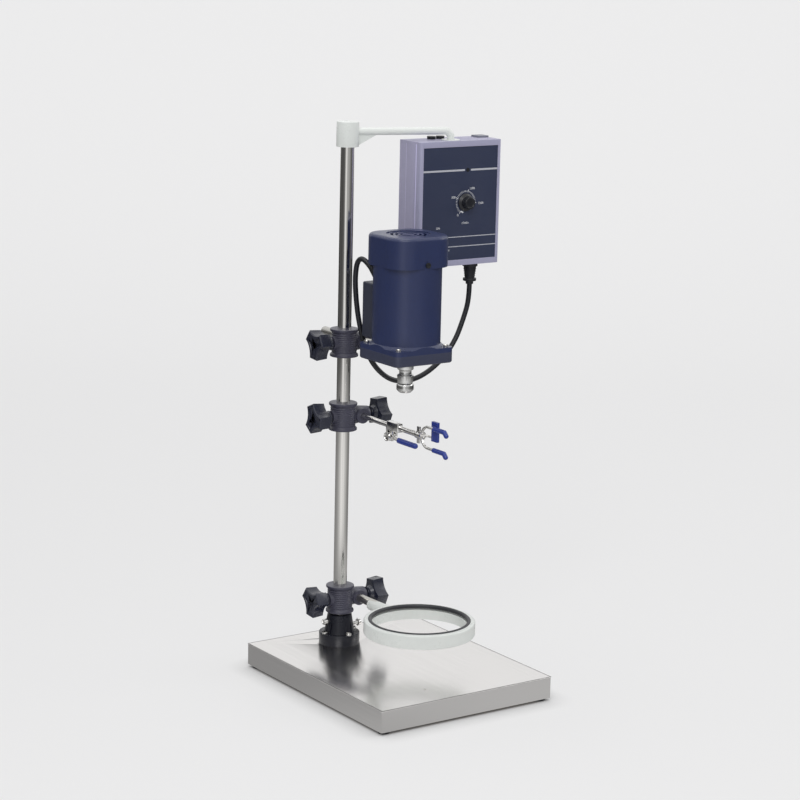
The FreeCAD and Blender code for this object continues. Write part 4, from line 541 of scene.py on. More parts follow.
def varied(shader, place, tone, share, scale, dust, rough):
    """Colour and roughness that vary softly."""
    tones = {"Colour": shade(tone), "Second Colour": shade(tone, share)}
    mottle = effect(coat_variation, place, Scale=scale, Dust=dust, **tones)
    feed(shader, "Base Color", mottle["Colour"])
    feed(shader, "Roughness", spread(mottle["Patches"], *rough))


def coated(name, tone, roughness, variation=0.85, dust=0.05, scale=30.0, peel=700.0, grain=0.3,
           strength=0.08, depth=0.0002, coat=0.0, specular=0.5):
    """Enamel, plastic or rubber with soft variation and a fine surface."""
    material, shader, place = start_material(name, roughness)
    varied(shader, place, tone, variation, scale, dust,
           (roughness * 0.88, min(1.0, roughness * 1.14)))
    texture = effect(coat_texture, place, Scale=peel, Grain=grain)
    relief(shader, texture["Height"], strength, depth)
    feed(shader, "Coat Weight", coat)
    feed(shader, "Coat Roughness", 0.12)
    feed(shader, "Specular IOR Level", specular)
    return material


def brushed(name, tone, low, high, stretch, strength, depth, contrast):
    """Bare metal with grain along one axis."""
    material, shader, place = start_material(name, low, 1.0)
    grain = effect(brushed_grain, place, Stretch=stretch)
    mask = spread(grain["Grain"], 0.0, 1.0)
    feed(shader, "Base Color", mix_colours(mask, shade(tone), shade(tone, contrast)))
    feed(shader, "Roughness", spread(grain["Streaks"], low, high))
    relief(shader, grain["Grain"], strength, depth)
    return material


def plated(name, tone, roughness):
    """Bright plating with a faint polish."""
    material, shader, place = start_material(name, roughness, 1.0)
    varied(shader, place, tone, 0.82, 60.0, 0.0, (roughness * 0.6, roughness * 1.5))
    relief(shader, effect(coat_texture, place, Scale=900.0)["Height"], 0.03, 0.0001)
    return material


# Colour, roughness range, stretch of the grain, its relief and depth, darker share
BRUSHED = {
    "base_stainless": ((0.83, 0.815, 0.8), 0.2, 0.25, (900, 5, 900), 0.04, 0.00003, 0.93),
    # A dark copy of the base's steel: painted shade for the dark lines along the base's top edges
    "hem_stainless": ((0.2, 0.195, 0.19), 0.4, 0.5, (900, 5, 900), 0.04, 0.00003, 0.93),
    "pole_stainless": ((0.82, 0.805, 0.775), 0.08, 0.15, (500, 500, 6), 0.05, 0.00004, 0.88),
    "rod_stainless": ((0.56, 0.55, 0.52), 0.24, 0.36, (500, 6, 500), 0.05, 0.00004, 0.9),
    "chuck_steel": ((0.76, 0.76, 0.75), 0.13, 0.22, (60, 60, 1400), 0.08, 0.00005, 0.85),
    "core_laminations": ((0.3, 0.29, 0.28), 0.35, 0.5, (20, 20, 2500), 0.2, 0.0001, 0.7),
}
PLATED = {
    "bright_plating": ((0.86, 0.85, 0.83), 0.13),
    "screw_plating": ((0.84, 0.82, 0.76), 0.24),
}
# Colour or its setting, roughness, darker share, dust, patch scale, peel scale, grain,
# relief, depth, clear coat, specular
COATED = {
    "motor_enamel": ("motor_navy", 0.36, 0.86, 0.04, 22, 420, 0.25, 0.1, 0.0003, 0.12),
    "plate_casting": ((0.042, 0.048, 0.088), 0.42, 0.8, 0.05, 35, 500, 0.6, 0.16, 0.0003),
    "bezel_enamel": ("bezel_lilac", 0.38, 0.93, 0.03, 25, 900, 0.3, 0.07),
    "case_enamel": ("case_lilac", 0.45, 0.9, 0.04, 25, 1100, 0.5, 0.14),
    "panel": ("panel_ink", 0.36, 0.95, 0, 18, 500, 0.1, 0.02, 0.0001),
    "pale_enamel": ("pale_enamel", 0.3, 0.93, 0.03, 28, 500, 0.2, 0.07, 0.0003, 0.2),
    "boss_casting": ("casting", 0.4, 0.75, 0.1, 45, 380, 0.7, 0.3, 0.0004),
    "socket_enamel": ((0.009, 0.01, 0.018), 0.3, 0.75, 0.02, 45, 450, 0.4, 0.12, 0.0003, 0, 0.35),
    "knob_plastic": ("knob_black", 0.27, 0.75, 0.06, 60, 900, 0.3, 0.06, 0.0002, 0.1),
    "black_plastic": ((0.014, 0.015, 0.019), 0.38, 0.75, 0.06, 60, 1100, 0.5, 0.12),
    "run_box_plastic": ((0.036, 0.041, 0.066), 0.42, 0.8, 0.06, 60, 800, 0.5, 0.12),
    "clip_grey": ((0.21, 0.215, 0.26), 0.42, 0.9, 0.03, 40, 800, 0.4, 0.1),
    "black_rubber": ((0.01, 0.011, 0.016), 0.5, 0.75, 0.07, 80, 900, 0.6, 0.15),
    "ring_band_rubber": ((0.015, 0.016, 0.022), 0.42, 0.75, 0.05, 80, 900, 0.5, 0.1),
    "cord_rubber": ((0.008, 0.009, 0.014), 0.42, 0.8, 0.03, 120, 900, 0.4, 0.1),
    "soft_sleeve": ("sleeve_blue", 0.3, 0.8, 0.03, 90, 500, 0.2, 0.1, 0.0003, 0.15),
    "dial_plastic": ((0.012, 0.013, 0.018), 0.34, 0.8, 0.04, 80, 900, 0.4),
    "white_print": ((0.74, 0.75, 0.78), 0.5, 0.95, 0, 90),
    "grey_print": ((0.5, 0.51, 0.56), 0.5, 0.95, 0, 90),
    "board": ((0.33, 0.22, 0.12), 0.7, 0.8, 0, 40, 300, 0.8, 0.3, 0.0004),
    "circuit_board": ((0.02, 0.1, 0.04), 0.4, 0.8),
    "fan_plastic": ((0.05, 0.05, 0.055), 0.45, 0.8),
}
# How much lighter the case's enamel is painted on the box's painted highlight strips
HIGHLIGHT_GAIN = 1.65
materials = {}


def build_materials():
    """Every finish of the stirrer, by name."""
    settings = finishes()
    for make, table in ((brushed, BRUSHED), (plated, PLATED), (coated, COATED)):
        for finish, (tone, *values) in table.items():
            if isinstance(tone, str):
                tone = getattr(settings, tone)
            materials[finish] = make(finish, tone, *values)
    # A lighter copy of the case's enamel: painted highlight for the strips on the box's sides
    materials["bead_enamel"] = coated("bead_enamel", shade(settings.case_lilac, HIGHLIGHT_GAIN),
                                      0.42, 0.94, 0.03, 25, 1100, 0.5, 0.1)


BOSSES = ("upper_boss", "middle_boss", "lower_boss")
KNOBS = tuple(f"{level}_{side}_knob" for level in ("upper", "middle", "lower")
              for side in ("pole", "rod"))
FINISH_NODES = {
    "base_stainless": "base_cover", "board": "base_board", "pole_stainless": "pole",
    "black_rubber": "rubber_feet motor_plug cord_grommet", "cord_rubber": "motor_cord",
    "screw_plating": "foot_screws case_screws motor_screws", "socket_enamel": "pole_socket",
    "boss_casting": " ".join(BOSSES), "knob_plastic": " ".join(KNOBS),
    "pale_enamel": "top_cap hanger_arm hanger_nut flask_ring", "case_enamel": "controller_case",
    "bezel_enamel": "controller_bezel", "panel": "control_panel", "dial_plastic": "speed_knob",
    "black_plastic": "switch_housing motor_outlet fuse_holders power_inlet power_rocker",
    "circuit_board": "circuit_board", "plate_casting": "motor_plate",
    "motor_enamel": "motor_housing fan_cover", "run_box_plastic": "capacitor_box",
    "core_laminations": "stator rotor", "fan_plastic": "cooling_fan",
    "chuck_steel": "chuck_body chuck_collet chuck_nut", "rod_stainless": "motor_rod ring_rod",
    "ring_band_rubber": "ring_gasket", "soft_sleeve": "finger_sleeves lever_sleeve centre_pad",
    "bright_plating": "socket_bolts socket_screws speed_pot motor_bearings clamp_rod finger_yoke"
                      " clamp_thumb_screw clamp_lever centre_finger wing_nut",
}
NODE_FINISH = {node: finish for finish, nodes in FINISH_NODES.items() for node in nodes.split()}


class STIRRER_OT_finishes(bpy.types.Operator):
    """Make the finishes and give each solid its own"""

    bl_idname = "stirrer.finishes"
    bl_label = "Finishes"

    def execute(self, context):
        build_materials()
        for name, node in frame["nodes"].items():
            node.data.materials.clear()
            node.data.materials.append(materials[NODE_FINISH[name]])
            smooth(node, 28)
        return {"FINISHED"}


# Width and segments of the soft edges
SOFT_EDGES = {
    **dict.fromkeys(BOSSES, (0.0008, 3)), "pole_socket": (0.0007, 2), "top_cap": (0.0005, 2),
    "motor_plate": (0.0008, 3), "capacitor_box": (0.0008, 3), "controller_case": (0.0009, 3),
    "controller_bezel": (0.0009, 3), "clamp_rod": (0.0006, 2), "wing_nut": (0.0007, 2),
    "centre_pad": (0.0009, 3), "chuck_body": (0.0004, 2), "chuck_nut": (0.0008, 3),
    "clamp_lever": (0.0004, 2), "motor_rod": (0.0006, 2), "ring_rod": (0.0006, 2),
    "motor_plug": (0.0007, 2), "motor_outlet": (0.0006, 2), "fuse_holders": (0.0006, 2),
    "power_inlet": (0.0004, 2), "hanger_nut": (0.0003, 2), "switch_housing": (0.0003, 2),
    "power_rocker": (0.0004, 2), "cooling_fan": (0.0003, 1), "base_cover": (0.0003, 2),
}


class STIRRER_OT_soft_edges(bpy.types.Operator):
    """Give the castings, mouldings and turned pieces the soft edges that catch the light"""

    bl_idname = "stirrer.soft_edges"
    bl_label = "Soft edges"

    def execute(self, context):
        for node, edge in SOFT_EDGES.items():
            piece = node_copy(node)
            bevel_edges(piece, *edge)
            stand_in(piece, node, 35)
        return {"FINISHED"}


def recess(piece, chosen, rim, depth):
    """Sink the flat faces that pass a test, inside a rim."""
    select_faces(piece, chosen)
    bpy.ops.mesh.inset(thickness=rim, depth=0.0)
    bpy.ops.mesh.inset(thickness=depth * 0.35, depth=-depth)
    end_edit()


class STIRRER_OT_knobs(bpy.types.Operator):
    """The six lobed clamp knobs, with a sunk end inside a raised rim"""

    bl_idname = "stirrer.knobs"
    bl_label = "Clamp knobs"

    def execute(self, context):
        values = sizes()
        for node in KNOBS:
            piece = node_copy(node)
            side = -1.0 if "pole" in node else 1.0
            end = max(face.center.x * side for face in piece.data.polygons)
            recess(piece, lambda face: face.normal.x * side > 0.99
                   and face.center.x * side > end - 0.0001, values.knob_rim, values.knob_sink)
            bevel_edges(piece, values.knob_edge, 3, 24)
            stand_in(piece, node, 35)
        return {"FINISHED"}


RIGHT, LEFT = Vector((1.0, 0.0, 0.0)), Vector((-1.0, 0.0, 0.0))
REAR, FRONT, TOP = Vector((0.0, 1.0, 0.0)), Vector((0.0, -1.0, 0.0)), Vector((0.0, 0.0, 1.0))
SCREW_FACES = {
    "motor_screws": (TOP, REAR, FRONT), "socket_bolts": (TOP,), "case_screws": (REAR,),
    "socket_screws": (RIGHT, LEFT, FRONT, REAR), "clamp_thumb_screw": (RIGHT, LEFT),
}


class STIRRER_OT_screws(bpy.types.Operator):
    """Screw heads with a driving recess and soft edges, black on the fan cover"""

    bl_idname = "stirrer.screws"
    bl_label = "Screws"

    def execute(self, context):
        values = sizes()
        for node, ways in SCREW_FACES.items():
            piece = node_copy(node)
            recess(piece, lambda face: any(face.normal.dot(way) > 0.995 for way in ways)
                   and face.area > values.socket_area, values.socket_rim, values.socket_depth)
            bevel_edges(piece, values.screw_edge, 2, 40)
            stand_in(piece, node, 35)
            if node == "motor_screws":
                select_faces(piece, lambda face: face.center.z > values.cover_level)
                bpy.ops.mesh.separate(type="SELECTED")
                end_edit()
                darker = next(item for item in context.selected_objects if item != piece)
                darker.name = "cover_screws"
                finish_piece(darker, "black_plastic", node)
        return {"FINISHED"}


POINTER_SIZE = (0.0030, 0.0011)
POINTER_INSET, POINTER_RISE, POINTER_TILT = 0.0026, 0.00225, 14.0


class STIRRER_OT_dial(bpy.types.Operator):
    """The fluted speed dial with its skirt and white pointer"""

    bl_idname = "stirrer.dial"
    bl_label = "Speed dial"

    def execute(self, context):
        values = sizes()
        centre, top = Vector(values.dial_centre), values.dial_height
        skirt, grip = values.dial_skirt, values.dial_grip
        place = front_place(centre.x, centre.z, centre.y)
        dial = turned("speed_dial", [
            (skirt, 0.0), (skirt, 0.0011), (skirt - 0.0006, 0.0018), (grip + 0.0009, 0.0027),
            (grip + 0.0002, 0.0034), (grip, 0.0040, True), (grip - 0.0002, top - 0.0010, True),
            (grip - 0.0009, top - 0.0002), (grip - 0.0016, top), (grip - 0.0026, top),
            (grip - 0.0030, top - 0.0005)], place, 96, 24, 0.955)
        bevel_edges(dial, 0.00012)
        stand_in(dial, "speed_knob", 40)
        heading = values.pointer_angle
        reach = skirt - POINTER_INSET
        foot = (math.cos(heading) * reach, math.sin(heading) * reach, POINTER_RISE)
        mark = slab(*POINTER_SIZE, place @ Matrix.Translation(foot)
                    @ Matrix.Rotation(heading, 4, "Z")
                    @ Matrix.Rotation(math.radians(POINTER_TILT), 4, "Y"))
        finish_piece(mark, "white_print", "speed_knob")
        return {"FINISHED"}


# Left, right, height and thickness of the printed lines, in millimetres
PANEL_BARS = (
    (61, 131.2, 705.5, 2.5), (141.6, 187, 705.5, 2.5), (104, 187, 613, 1.1),
    (61, 78, 613, 1.1), (104, 187, 599.7, 1.1), (61, 78, 599.7, 1.1),
)
# Word, middle across, middle up and letter height, in millimetres
PANEL_WORDS = (
    ("0", 121, 643.2, 5), ("500", 113.2, 668.2, 4.6), ("1000", 144.6, 679.4, 4.6),
    ("1500", 160, 658.2, 4.6), ("r/min", 134, 632, 5.4), ("ON", 88, 626.4, 4.2),
    ("OFF", 105, 594.4, 4.2),
)
PANEL_RING = (0.1364, 0.7055)
RING_OUTER, RING_INNER = 0.0029, 0.0021
PRINT_SINK = 0.00002
TICKS, TICKS_A_NUMBER = 31, 10
# Share of the mean length, and width
MAJOR_TICK, MINOR_TICK = (1.3, 0.0009), (0.8, 0.0006)
STOP_MARK = (0.0019, 0.0046)


class STIRRER_OT_panel_print(bpy.types.Operator):
    """Lines, dial scale, numbers and switch words on the front panel"""

    bl_idname = "stirrer.panel_print"
    bl_label = "Panel print"

    def execute(self, context):
        values = sizes()
        centre, lift = Vector(values.dial_centre), values.print_lift
        face = centre.y - PRINT_SINK
        stripe = joined("panel_lines", [
            slab((right - left) * MM, thick * MM,
                 front_place((left + right) / 2 * MM, level * MM, face))
            for left, right, level, thick in PANEL_BARS])
        finish_piece(stripe, "grey_print", "control_panel")
        badge = turned("panel_ring", [(RING_OUTER, 0.0), (RING_OUTER, lift), (RING_INNER, lift),
                                      (RING_INNER, -0.0003)],
                       front_place(*PANEL_RING, face), 40)
        finish_piece(badge, "dial_plastic", "control_panel")
        ticks = []
        for step in range(TICKS):
            heading = math.radians(values.scale_start - values.scale_step * step)
            share, width = MINOR_TICK if step % TICKS_A_NUMBER else MAJOR_TICK
            long = values.tick_length * share
            place = round_place(centre, heading, values.tick_radius + long / 2, face)
            ticks.append(slab(long, width, place, heading))
        heading = math.radians(values.stop_angle)
        place = round_place(centre, heading, values.tick_radius, face)
        ticks.append(slab(*STOP_MARK, place, heading))
        finish_piece(joined("dial_scale", ticks), "white_print", "control_panel")
        words = joined("panel_words", [
            lettering(text, height * MM, front_place(x * MM, z * MM, face))
            for text, x, z, height in PANEL_WORDS])
        finish_piece(words, "white_print", "control_panel")
        return {"FINISHED"}


# Front, back and how far it lies inside the box's side, for each painted highlight strip: a
# lighter copy of the case's enamel where the side catches the light
BOX_HIGHLIGHT_STRIPS = ((0.0606, 0.0624, 0.0005), (0.0842, 0.0850, 0.0003))
HIGHLIGHT_FOOT, HIGHLIGHT_END, HIGHLIGHT_EDGE = 0.0012, 0.003, 0.0001
# Left, front and height over the roof of the clip's low corner, then of its high corner
ROOF_CLIP = ((0.1735, 0.0780, -0.0008), (0.1910, 0.0960, 0.0026))
CLIP_EDGE = 0.0006
HALF_WIDTH, HALF_DEPTH, BASE_TOP = 0.1398, 0.1698, 0.0340
# Width, depth below the top, lift and soft edge of the painted shadow lines along the base's top
# edges
SHADOW_LINE_WIDTH, SHADOW_LINE_FOOT, SHADOW_LINE_LIFT, SHADOW_LINE_EDGE = 0.0013, 0.0002, 0.00005, 0.00002
BASE_PLUG = (-0.0402, -0.1251, BASE_TOP)


class STIRRER_OT_box_trim(bpy.types.Operator):
    """The controller box's painted highlight strips and roof clip, the base's plug and the painted
    shadow lines along the base's top edges
    """

    bl_idname = "stirrer.box_trim"
    bl_label = "Box and base trim"

    def execute(self, context):
        (left, _, foot), (right, _, roof) = node_span("controller_case")
        low, high = foot + HIGHLIGHT_END, roof - HIGHLIGHT_END
        highlight_strips = []
        for front, back, inside in BOX_HIGHLIGHT_STRIPS:
            highlight_strips += [block(*corners, HIGHLIGHT_EDGE) for corners in (
                ((left + inside, front, low), (left + HIGHLIGHT_FOOT, back, high)),
                ((right - HIGHLIGHT_FOOT, front, low), (right - inside, back, high)),
                ((left + HIGHLIGHT_END, front, roof - HIGHLIGHT_FOOT),
                 (right - HIGHLIGHT_END, back, roof - inside)))]
        # Painted highlight strips, lighter than the case they lie in
        highlight_strip = joined("box_beads", highlight_strips)
        smooth(highlight_strip)
        finish_piece(highlight_strip, "bead_enamel", "controller_case")
        clip = block(*[(x, y, roof + over) for x, y, over in ROOF_CLIP], CLIP_EDGE)
        clip.name = "roof_clip"
        smooth(clip)
        finish_piece(clip, "clip_grey", "controller_case")
        # Dark strips along the base's top edges: painted shade where the fold is in shadow
        wide, deep = HALF_WIDTH - SHADOW_LINE_WIDTH, HALF_DEPTH - SHADOW_LINE_WIDTH
        shadow_lines = [block((x, y, BASE_TOP - SHADOW_LINE_FOOT), (x_end, y_end, BASE_TOP + SHADOW_LINE_LIFT), SHADOW_LINE_EDGE)
                for x, x_end, y, y_end in ((-HALF_WIDTH, -wide, -HALF_DEPTH, HALF_DEPTH),
                                           (wide, HALF_WIDTH, -HALF_DEPTH, HALF_DEPTH),
                                           (-HALF_WIDTH, HALF_WIDTH, -HALF_DEPTH, -deep),
                                           (-HALF_WIDTH, HALF_WIDTH, deep, HALF_DEPTH))]
        finish_piece(joined("base_hems", shadow_lines), "hem_stainless", "base_cover")
        plug = turned("base_plug", [(0.0019, -0.0004), (0.0019, 0.0002), (0.0012, 0.0005)],
                      Matrix.Translation(BASE_PLUG), 32)
        smooth(plug)
        finish_piece(plug, "rod_stainless", "base_cover")
        return {"FINISHED"}


class STIRRER_OT_gasket(bpy.types.Operator):
    """The round soft band in the top of the flask ring"""

    bl_idname = "stirrer.gasket"
    bl_label = "Ring band"

    def execute(self, context):
        values = sizes()
        around = [math.tau * step / 20 for step in range(21)]
        stations = [(values.gasket_radius + math.cos(heading) * values.gasket_round,
                     math.sin(heading) * values.gasket_round) for heading in around]
        band = turned("ring_band", stations, Matrix.Translation(Vector(values.gasket_line)), 128,
                      filled=False)
        stand_in(band, "ring_gasket", 60)
        return {"FINISHED"}


class STIRRER_OT_boss_rings(bpy.types.Operator):
    """Low turned rings round the waist of each boss"""

    bl_idname = "stirrer.boss_rings"
    bl_label = "Boss rings"

    def execute(self, context):
        values = sizes()
        waist, low, tall = values.boss_waist, values.ring_lift, values.ring_pitch
        profile = [(waist - 0.0005, tall * 0.1), (waist, tall * 0.12),
                   (waist + low * 0.8, tall * 0.3), (waist + low, tall * 0.5),
                   (waist + low * 0.8, tall * 0.7), (waist, tall * 0.88),
                   (waist - 0.0005, tall * 0.9)]
        for node in BOSSES:
            foot, head = node_span(node)
            middle = (foot.z + head.z) / 2
            rings = [turned("ring", profile, Matrix.Translation(
                (*values.pole_line, middle + (step - 0.5) * tall)), 72) for step in range(-4, 5)]
            band = joined(node + "_rings", rings)
            smooth(band, 50)
            finish_piece(band, "boss_casting", node)
        return {"FINISHED"}


RIBS, RIB_RADIUS, RIB_GROWTH, RIB_START, RIB_PITCH = 5, 0.0062, 0.00045, 0.0075, 0.0033


class STIRRER_OT_rubber_ribs(bpy.types.Operator):
    """Grip ribs on the cord's plug"""

    bl_idname = "stirrer.rubber_ribs"
    bl_label = "Plug ribs"

    def execute(self, context):
        plug = Vector(CORD_ROUTE[0])
        ribs = []
        for step in range(RIBS):
            radius = RIB_RADIUS + RIB_GROWTH * step
            rise = Vector((0.0, 0.0, RIB_START + step * RIB_PITCH))
            ribs.append(turned("rib", [(radius, 0.0), (radius + 0.0010, 0.0005),
                                       (radius + 0.0010, 0.0013), (radius, 0.0018)],
                               Matrix.Translation(plug + rise), 40))
        grip = joined("plug_ribs", ribs)
        smooth(grip, 40)
        finish_piece(grip, "black_rubber", "motor_plug")
        return {"FINISHED"}


# The cord's route from the controller's plug to the motor
CORD_ROUTE = [
    (0.160, 0.071931, 0.5415), (0.160, 0.071931, 0.5195), (0.152, 0.072, 0.494),
    (0.136, 0.0705, 0.460), (0.107, 0.069, 0.431), (0.068, 0.0675, 0.4125),
    (0.028, 0.0665, 0.414), (-0.003, 0.0665, 0.438), (-0.020, 0.0665, 0.470),
    (-0.0305, 0.067, 0.508), (-0.035, 0.068, 0.545), (-0.0365, 0.067, 0.570),
    (-0.037, 0.061, 0.590), (-0.0341, 0.0496, 0.5938), (-0.0290, 0.0414, 0.5823),
]


class STIRRER_OT_cord(bpy.types.Operator):
    """The motor's cord, hanging between the controller's plug and the motor's grommet"""

    bl_idname = "stirrer.cord"
    bl_label = "Motor cord"

    def execute(self, context):
        curve = bpy.data.curves.new("motor_lead", "CURVE")
        curve.dimensions = "3D"
        spline = curve.splines.new("NURBS")
        spline.points.add(len(CORD_ROUTE) - 1)
        for point, place in zip(spline.points, CORD_ROUTE):
            point.co = (*place, 1.0)
        spline.order_u = 3
        spline.use_endpoint_u = True
        spline.resolution_u = 12
        lead = new_object("motor_lead", curve)
        line = bpy.data.meshes.new_from_object(lead)
        bpy.data.meshes.remove(line)
        curve.bevel_depth = sizes().cord_width / 2
        curve.bevel_resolution = 6
        curve.use_fill_caps = True
        make_active(lead)
        bpy.ops.object.convert(target="MESH")
        lead = context.object
        outward(lead)
        smooth(lead, 60)
        lead.data.materials.clear()
        lead.data.materials.append(materials["cord_rubber"])
        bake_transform(lead)
        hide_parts("motor_cord")
        return {"FINISHED"}


# Studio: share of a turn and brightness there, as the metals see the room, far and near
FAR_ROOM = ((0.0, 0.09), (0.05, 0.07), (0.101, 0.11), (0.15, 0.13), (0.182, 0.5),
            (0.205, 0.82), (0.237, 0.95), (0.262, 0.55), (0.282, 0.42), (0.324, 0.43),
            (0.371, 0.34), (0.42, 0.19), (0.471, 0.1), (0.535, 0.09), (0.62, 0.03),
            (0.9, 0.05), (0.989, 0.1), (1.0, 0.09))
NEAR_ROOM = ((0.0, 0.32), (0.072, 0.45), (0.122, 0.61), (0.172, 0.8), (0.218, 0.92),
             (0.311, 0.84), (0.357, 0.78), (0.405, 0.59), (0.459, 0.46), (0.525, 0.32),
             (0.606, 0.25), (0.8, 0.22), (1.0, 0.32))
HIGH_ROOM = 0.92
# Where one view of the room goes over into the next, by distance, height or depth
NEAR_FADE, CLOSE_FADE, BACK_FADE = (2.6, 1.1), (0.75, 0.35), (0.2, 4.2)
WALL_FADE, ROOM_FADE = (0.12, 0.5), (0.05, 0.45)
# Glow of the floor for the camera, extra glow towards the back, the glow left in the painted
# contact shadow and that shadow's reach
FLOOR_GLOW, BACK_GLOW, CONTACT_SHADOW_GLOW, CONTACT_SHADOW_REACH = 0.475, 0.13, 0.02, 0.035
FLOOR_BOUNCE, SEEN_BOUNCE = 0.8, -0.42
BENEATH_MEAN, BENEATH_SWING, BENEATH_HEADING = 0.41, 0.11, -2.783
# Name, place, what it looks at, width and power
LAMPS = (("Key", (-1.5, -1.9, 2.6), (0, 0, 0.35), 1.7, 34),
         ("Side", (2.4, -0.9, 1.7), (0, 0, 0.4), 1.4, 12),
         ("Top", (0.1, 0.5, 2.9), (0, 0, 0.3), 1.6, 16))
FLOOR_SIZE, WALL_HEIGHT, WALL_CURVE = 9.0, 5.0, 2.4


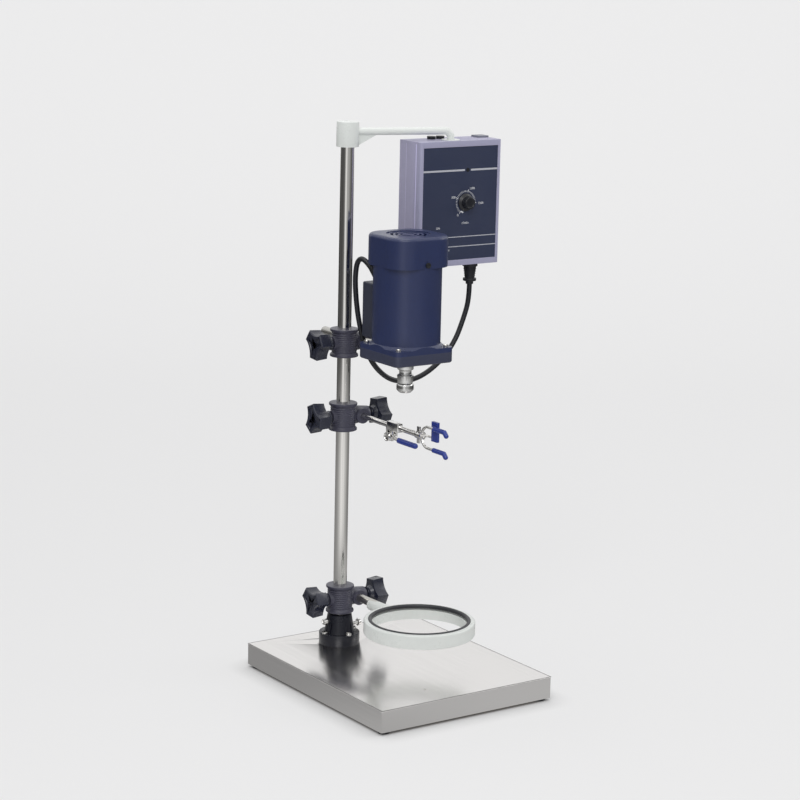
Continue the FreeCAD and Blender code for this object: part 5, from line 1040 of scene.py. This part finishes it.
class STIRRER_OT_studio(bpy.types.Operator):
    """Pale floor and backdrop, soft lamps, room light and the camera"""

    bl_idname = "stirrer.studio"
    bl_label = "Studio"

    def execute(self, context):
        self.camera(studio())
        self.backdrop(studio().camera_heading)
        for lamp in LAMPS:
            self.lamp(*lamp)
        self.room(studio())
        context.scene.view_settings.view_transform = "Standard"
        return {"FINISHED"}

    def camera(self, values):
        view = (Matrix.Rotation(values.camera_heading, 4, "Z")
                @ Matrix.Rotation(math.radians(90.0) - values.camera_tilt, 4, "X")
                @ Matrix.Rotation(values.camera_roll, 4, "Z"))
        view.translation = Vector(values.camera_place)
        lens = bpy.data.cameras.new("Camera")
        lens.lens = values.lens
        lens.sensor_width = 36.0
        lens.clip_end = 50.0
        camera = new_object("Camera", lens)
        camera.matrix_world = view
        bpy.context.scene.camera = camera

    def backdrop(self, heading):
        """A floor that curves up into a wall behind the stirrer."""
        floor = primitive(bpy.ops.mesh.primitive_plane_add, size=FLOOR_SIZE,
                          rotation=(0.0, 0.0, heading))
        floor.name = "floor"
        bpy.ops.mesh.select_all(action="DESELECT")
        end_edit()
        vertices = floor.data.vertices
        rear = next(edge for edge in floor.data.edges
                    if all(vertices[index].co.y > 4.0 for index in edge.vertices))
        rear.select = True
        for index in rear.vertices:
            vertices[index].select = True
        bpy.ops.object.mode_set(mode="EDIT")
        bpy.ops.mesh.select_mode(type="EDGE")
        extrude((0.0, 0.0, WALL_HEIGHT))
        end_edit()
        bevel_edges(floor, WALL_CURVE, 24, 40)
        smooth(floor, 60)
        floor.data.materials.append(self.floor_material())

    def lamp(self, name, place, aim, width, power):
        light = bpy.data.lights.new(name, "AREA")
        light.size = width
        light.energy = power
        direction = Vector(aim) - Vector(place)
        new_object(name, light).matrix_world = (
            Matrix.Translation(place) @ direction.to_track_quat("-Z", "Y").to_matrix().to_4x4())

    def floor_material(self):
        """Pale seamless paper: plainly lit for the camera, with a painted contact shadow where it
        is shut in, and for the metals' reflections brighter or darker by the way that it is seen
        in."""
        material, shader, place = start_material("pale_floor", 0.75)
        tree = material.node_tree
        paths = tree.nodes.new("ShaderNodeLightPath").outputs
        across, back, up = axes_of(place)
        share = self.share_of_turn(back, across, 0.5)
        distance = add_node(tree, "VectorMath", {0: place}, operation="LENGTH").outputs["Value"]
        level = towards(between(distance, *NEAR_FADE), self.ramp(share, FAR_ROOM),
                        self.ramp(share, NEAR_ROOM))
        aside = compute("MULTIPLY_ADD", share, math.tau, BENEATH_HEADING)
        beneath = compute("MULTIPLY_ADD", compute("COSINE", aside), BENEATH_SWING, BENEATH_MEAN)
        level = towards(between(distance, *CLOSE_FADE), level, beneath)
        level = towards(between(up, *WALL_FADE), level, HIGH_ROOM)
        glow = compute("MULTIPLY_ADD", between(back, *BACK_FADE), BACK_GLOW, FLOOR_GLOW)
        # Painted contact shadow: ambient occlusion darkens the floor's glow where it is shut in
        unshadowed_share = add_node(tree, "AmbientOcclusion", {"Distance": CONTACT_SHADOW_REACH},
                              samples=8).outputs["AO"]
        glow = compute("MULTIPLY", glow, compute("MULTIPLY_ADD", unshadowed_share, 1.0 - CONTACT_SHADOW_GLOW,
                                                 CONTACT_SHADOW_GLOW))
        seen = compute("MULTIPLY", glow, paths["Is Camera Ray"])
        mirrored = compute("MULTIPLY", level, paths["Is Glossy Ray"])
        feed(shader, "Emission Strength", compute("ADD", seen, mirrored))
        feed(shader, "Emission Color", (1.0, 0.998, 1.0, 1.0))
        bounce = compute("MULTIPLY_ADD", paths["Is Camera Ray"], SEEN_BOUNCE, FLOOR_BOUNCE)
        not_glossy = compute("SUBTRACT", 1.0, paths["Is Glossy Ray"])
        feed(shader, "Base Color", compute("MULTIPLY", bounce, not_glossy))
        feed(shader, "Specular IOR Level", 0.0)
        return material

    def share_of_turn(self, back, across, offset):
        """The heading of a place or direction as a share of a full turn."""
        return compute("MULTIPLY_ADD", compute("ARCTAN2", back, across), 1.0 / math.tau, offset)

    def ramp(self, share, stops):
        node = add_node(share.id_data, "ValToRGB", {0: share})
        elements = node.color_ramp.elements
        while len(elements) > 1:
            elements.remove(elements[-1])
        for step, (position, level) in enumerate(stops):
            stop = elements.new(position) if step else elements[0]
            stop.position = position
            stop.color = (level, level, level, 1.0)
        return node.outputs[0]

    def room(self, values):
        """Even light, with a darker end of the room behind the camera for the metals."""
        world = bpy.data.worlds.new("Room")
        bpy.context.scene.world = world
        world.use_nodes = True
        tree = world.node_tree
        background = tree.nodes["Background"]
        direction = tree.nodes.new("ShaderNodeTexCoord").outputs["Generated"]
        across, back, up = axes_of(direction)
        share = self.share_of_turn(back, across, 0.5 - values.camera_heading / math.tau)
        around = self.ramp(compute("FRACT", share), FAR_ROOM)
        mirrored = towards(between(up, *ROOM_FADE), around, HIGH_ROOM)
        paths = tree.nodes.new("ShaderNodeLightPath").outputs
        feed(background, 0, mix_colours(paths["Is Glossy Ray"], (0.82, 0.82, 0.83, 1.0),
                                        mirrored))
        seen = compute("MAXIMUM", paths["Is Camera Ray"], paths["Is Glossy Ray"])
        seen = compute("MAXIMUM", seen, paths["Is Transmission Ray"])
        level = add_node(tree, "Mix", {0: seen, 2: values.room_light, 3: 1.0}, data_type="FLOAT")
        feed(background, 1, level.outputs[0])


class STIRRER_PT_sidebar(bpy.types.Panel):
    """Steps that dress the stirrer"""

    bl_label = "Stirrer"
    bl_idname = "STIRRER_PT_sidebar"
    bl_space_type = "VIEW_3D"
    bl_region_type = "UI"
    bl_category = "Stirrer"

    def draw(self, context):
        layout = self.layout
        for group in (finishes(), sizes(), studio()):
            box = layout.box()
            for name in group.bl_rna.properties.keys():
                if name not in ("rna_type", "name"):
                    box.prop(group, name)
        for operator in OPERATORS:
            layout.operator(operator.bl_idname)


OPERATORS = (STIRRER_OT_finishes, STIRRER_OT_soft_edges, STIRRER_OT_knobs, STIRRER_OT_screws,
             STIRRER_OT_dial, STIRRER_OT_panel_print, STIRRER_OT_box_trim, STIRRER_OT_gasket,
             STIRRER_OT_boss_rings, STIRRER_OT_rubber_ribs, STIRRER_OT_cord, STIRRER_OT_studio)
GROUPS = {"stirrer_finishes": StirrerFinishes, "stirrer_sizes": StirrerSizes,
          "stirrer_studio": StirrerStudio}
CLASSES = (*GROUPS.values(), *OPERATORS, STIRRER_PT_sidebar)


def register():
    for item in CLASSES:
        bpy.utils.register_class(item)
    for name, group in GROUPS.items():
        setattr(bpy.types.Scene, name, bpy.props.PointerProperty(type=group))


def unregister():
    for name in GROUPS:
        delattr(bpy.types.Scene, name)
    for item in reversed(CLASSES):
        bpy.utils.unregister_class(item)


def main():
    register()
    bpy.ops.stirrer.studio()
    bpy.ops.stirrer.finishes()
    bpy.ops.stirrer.soft_edges()
    bpy.ops.stirrer.knobs()
    bpy.ops.stirrer.screws()
    bpy.ops.stirrer.dial()
    bpy.ops.stirrer.panel_print()
    bpy.ops.stirrer.box_trim()
    bpy.ops.stirrer.gasket()
    bpy.ops.stirrer.boss_rings()
    bpy.ops.stirrer.rubber_ribs()
    bpy.ops.stirrer.cord()
    deselect()


if __name__ == "__main__":
    main()
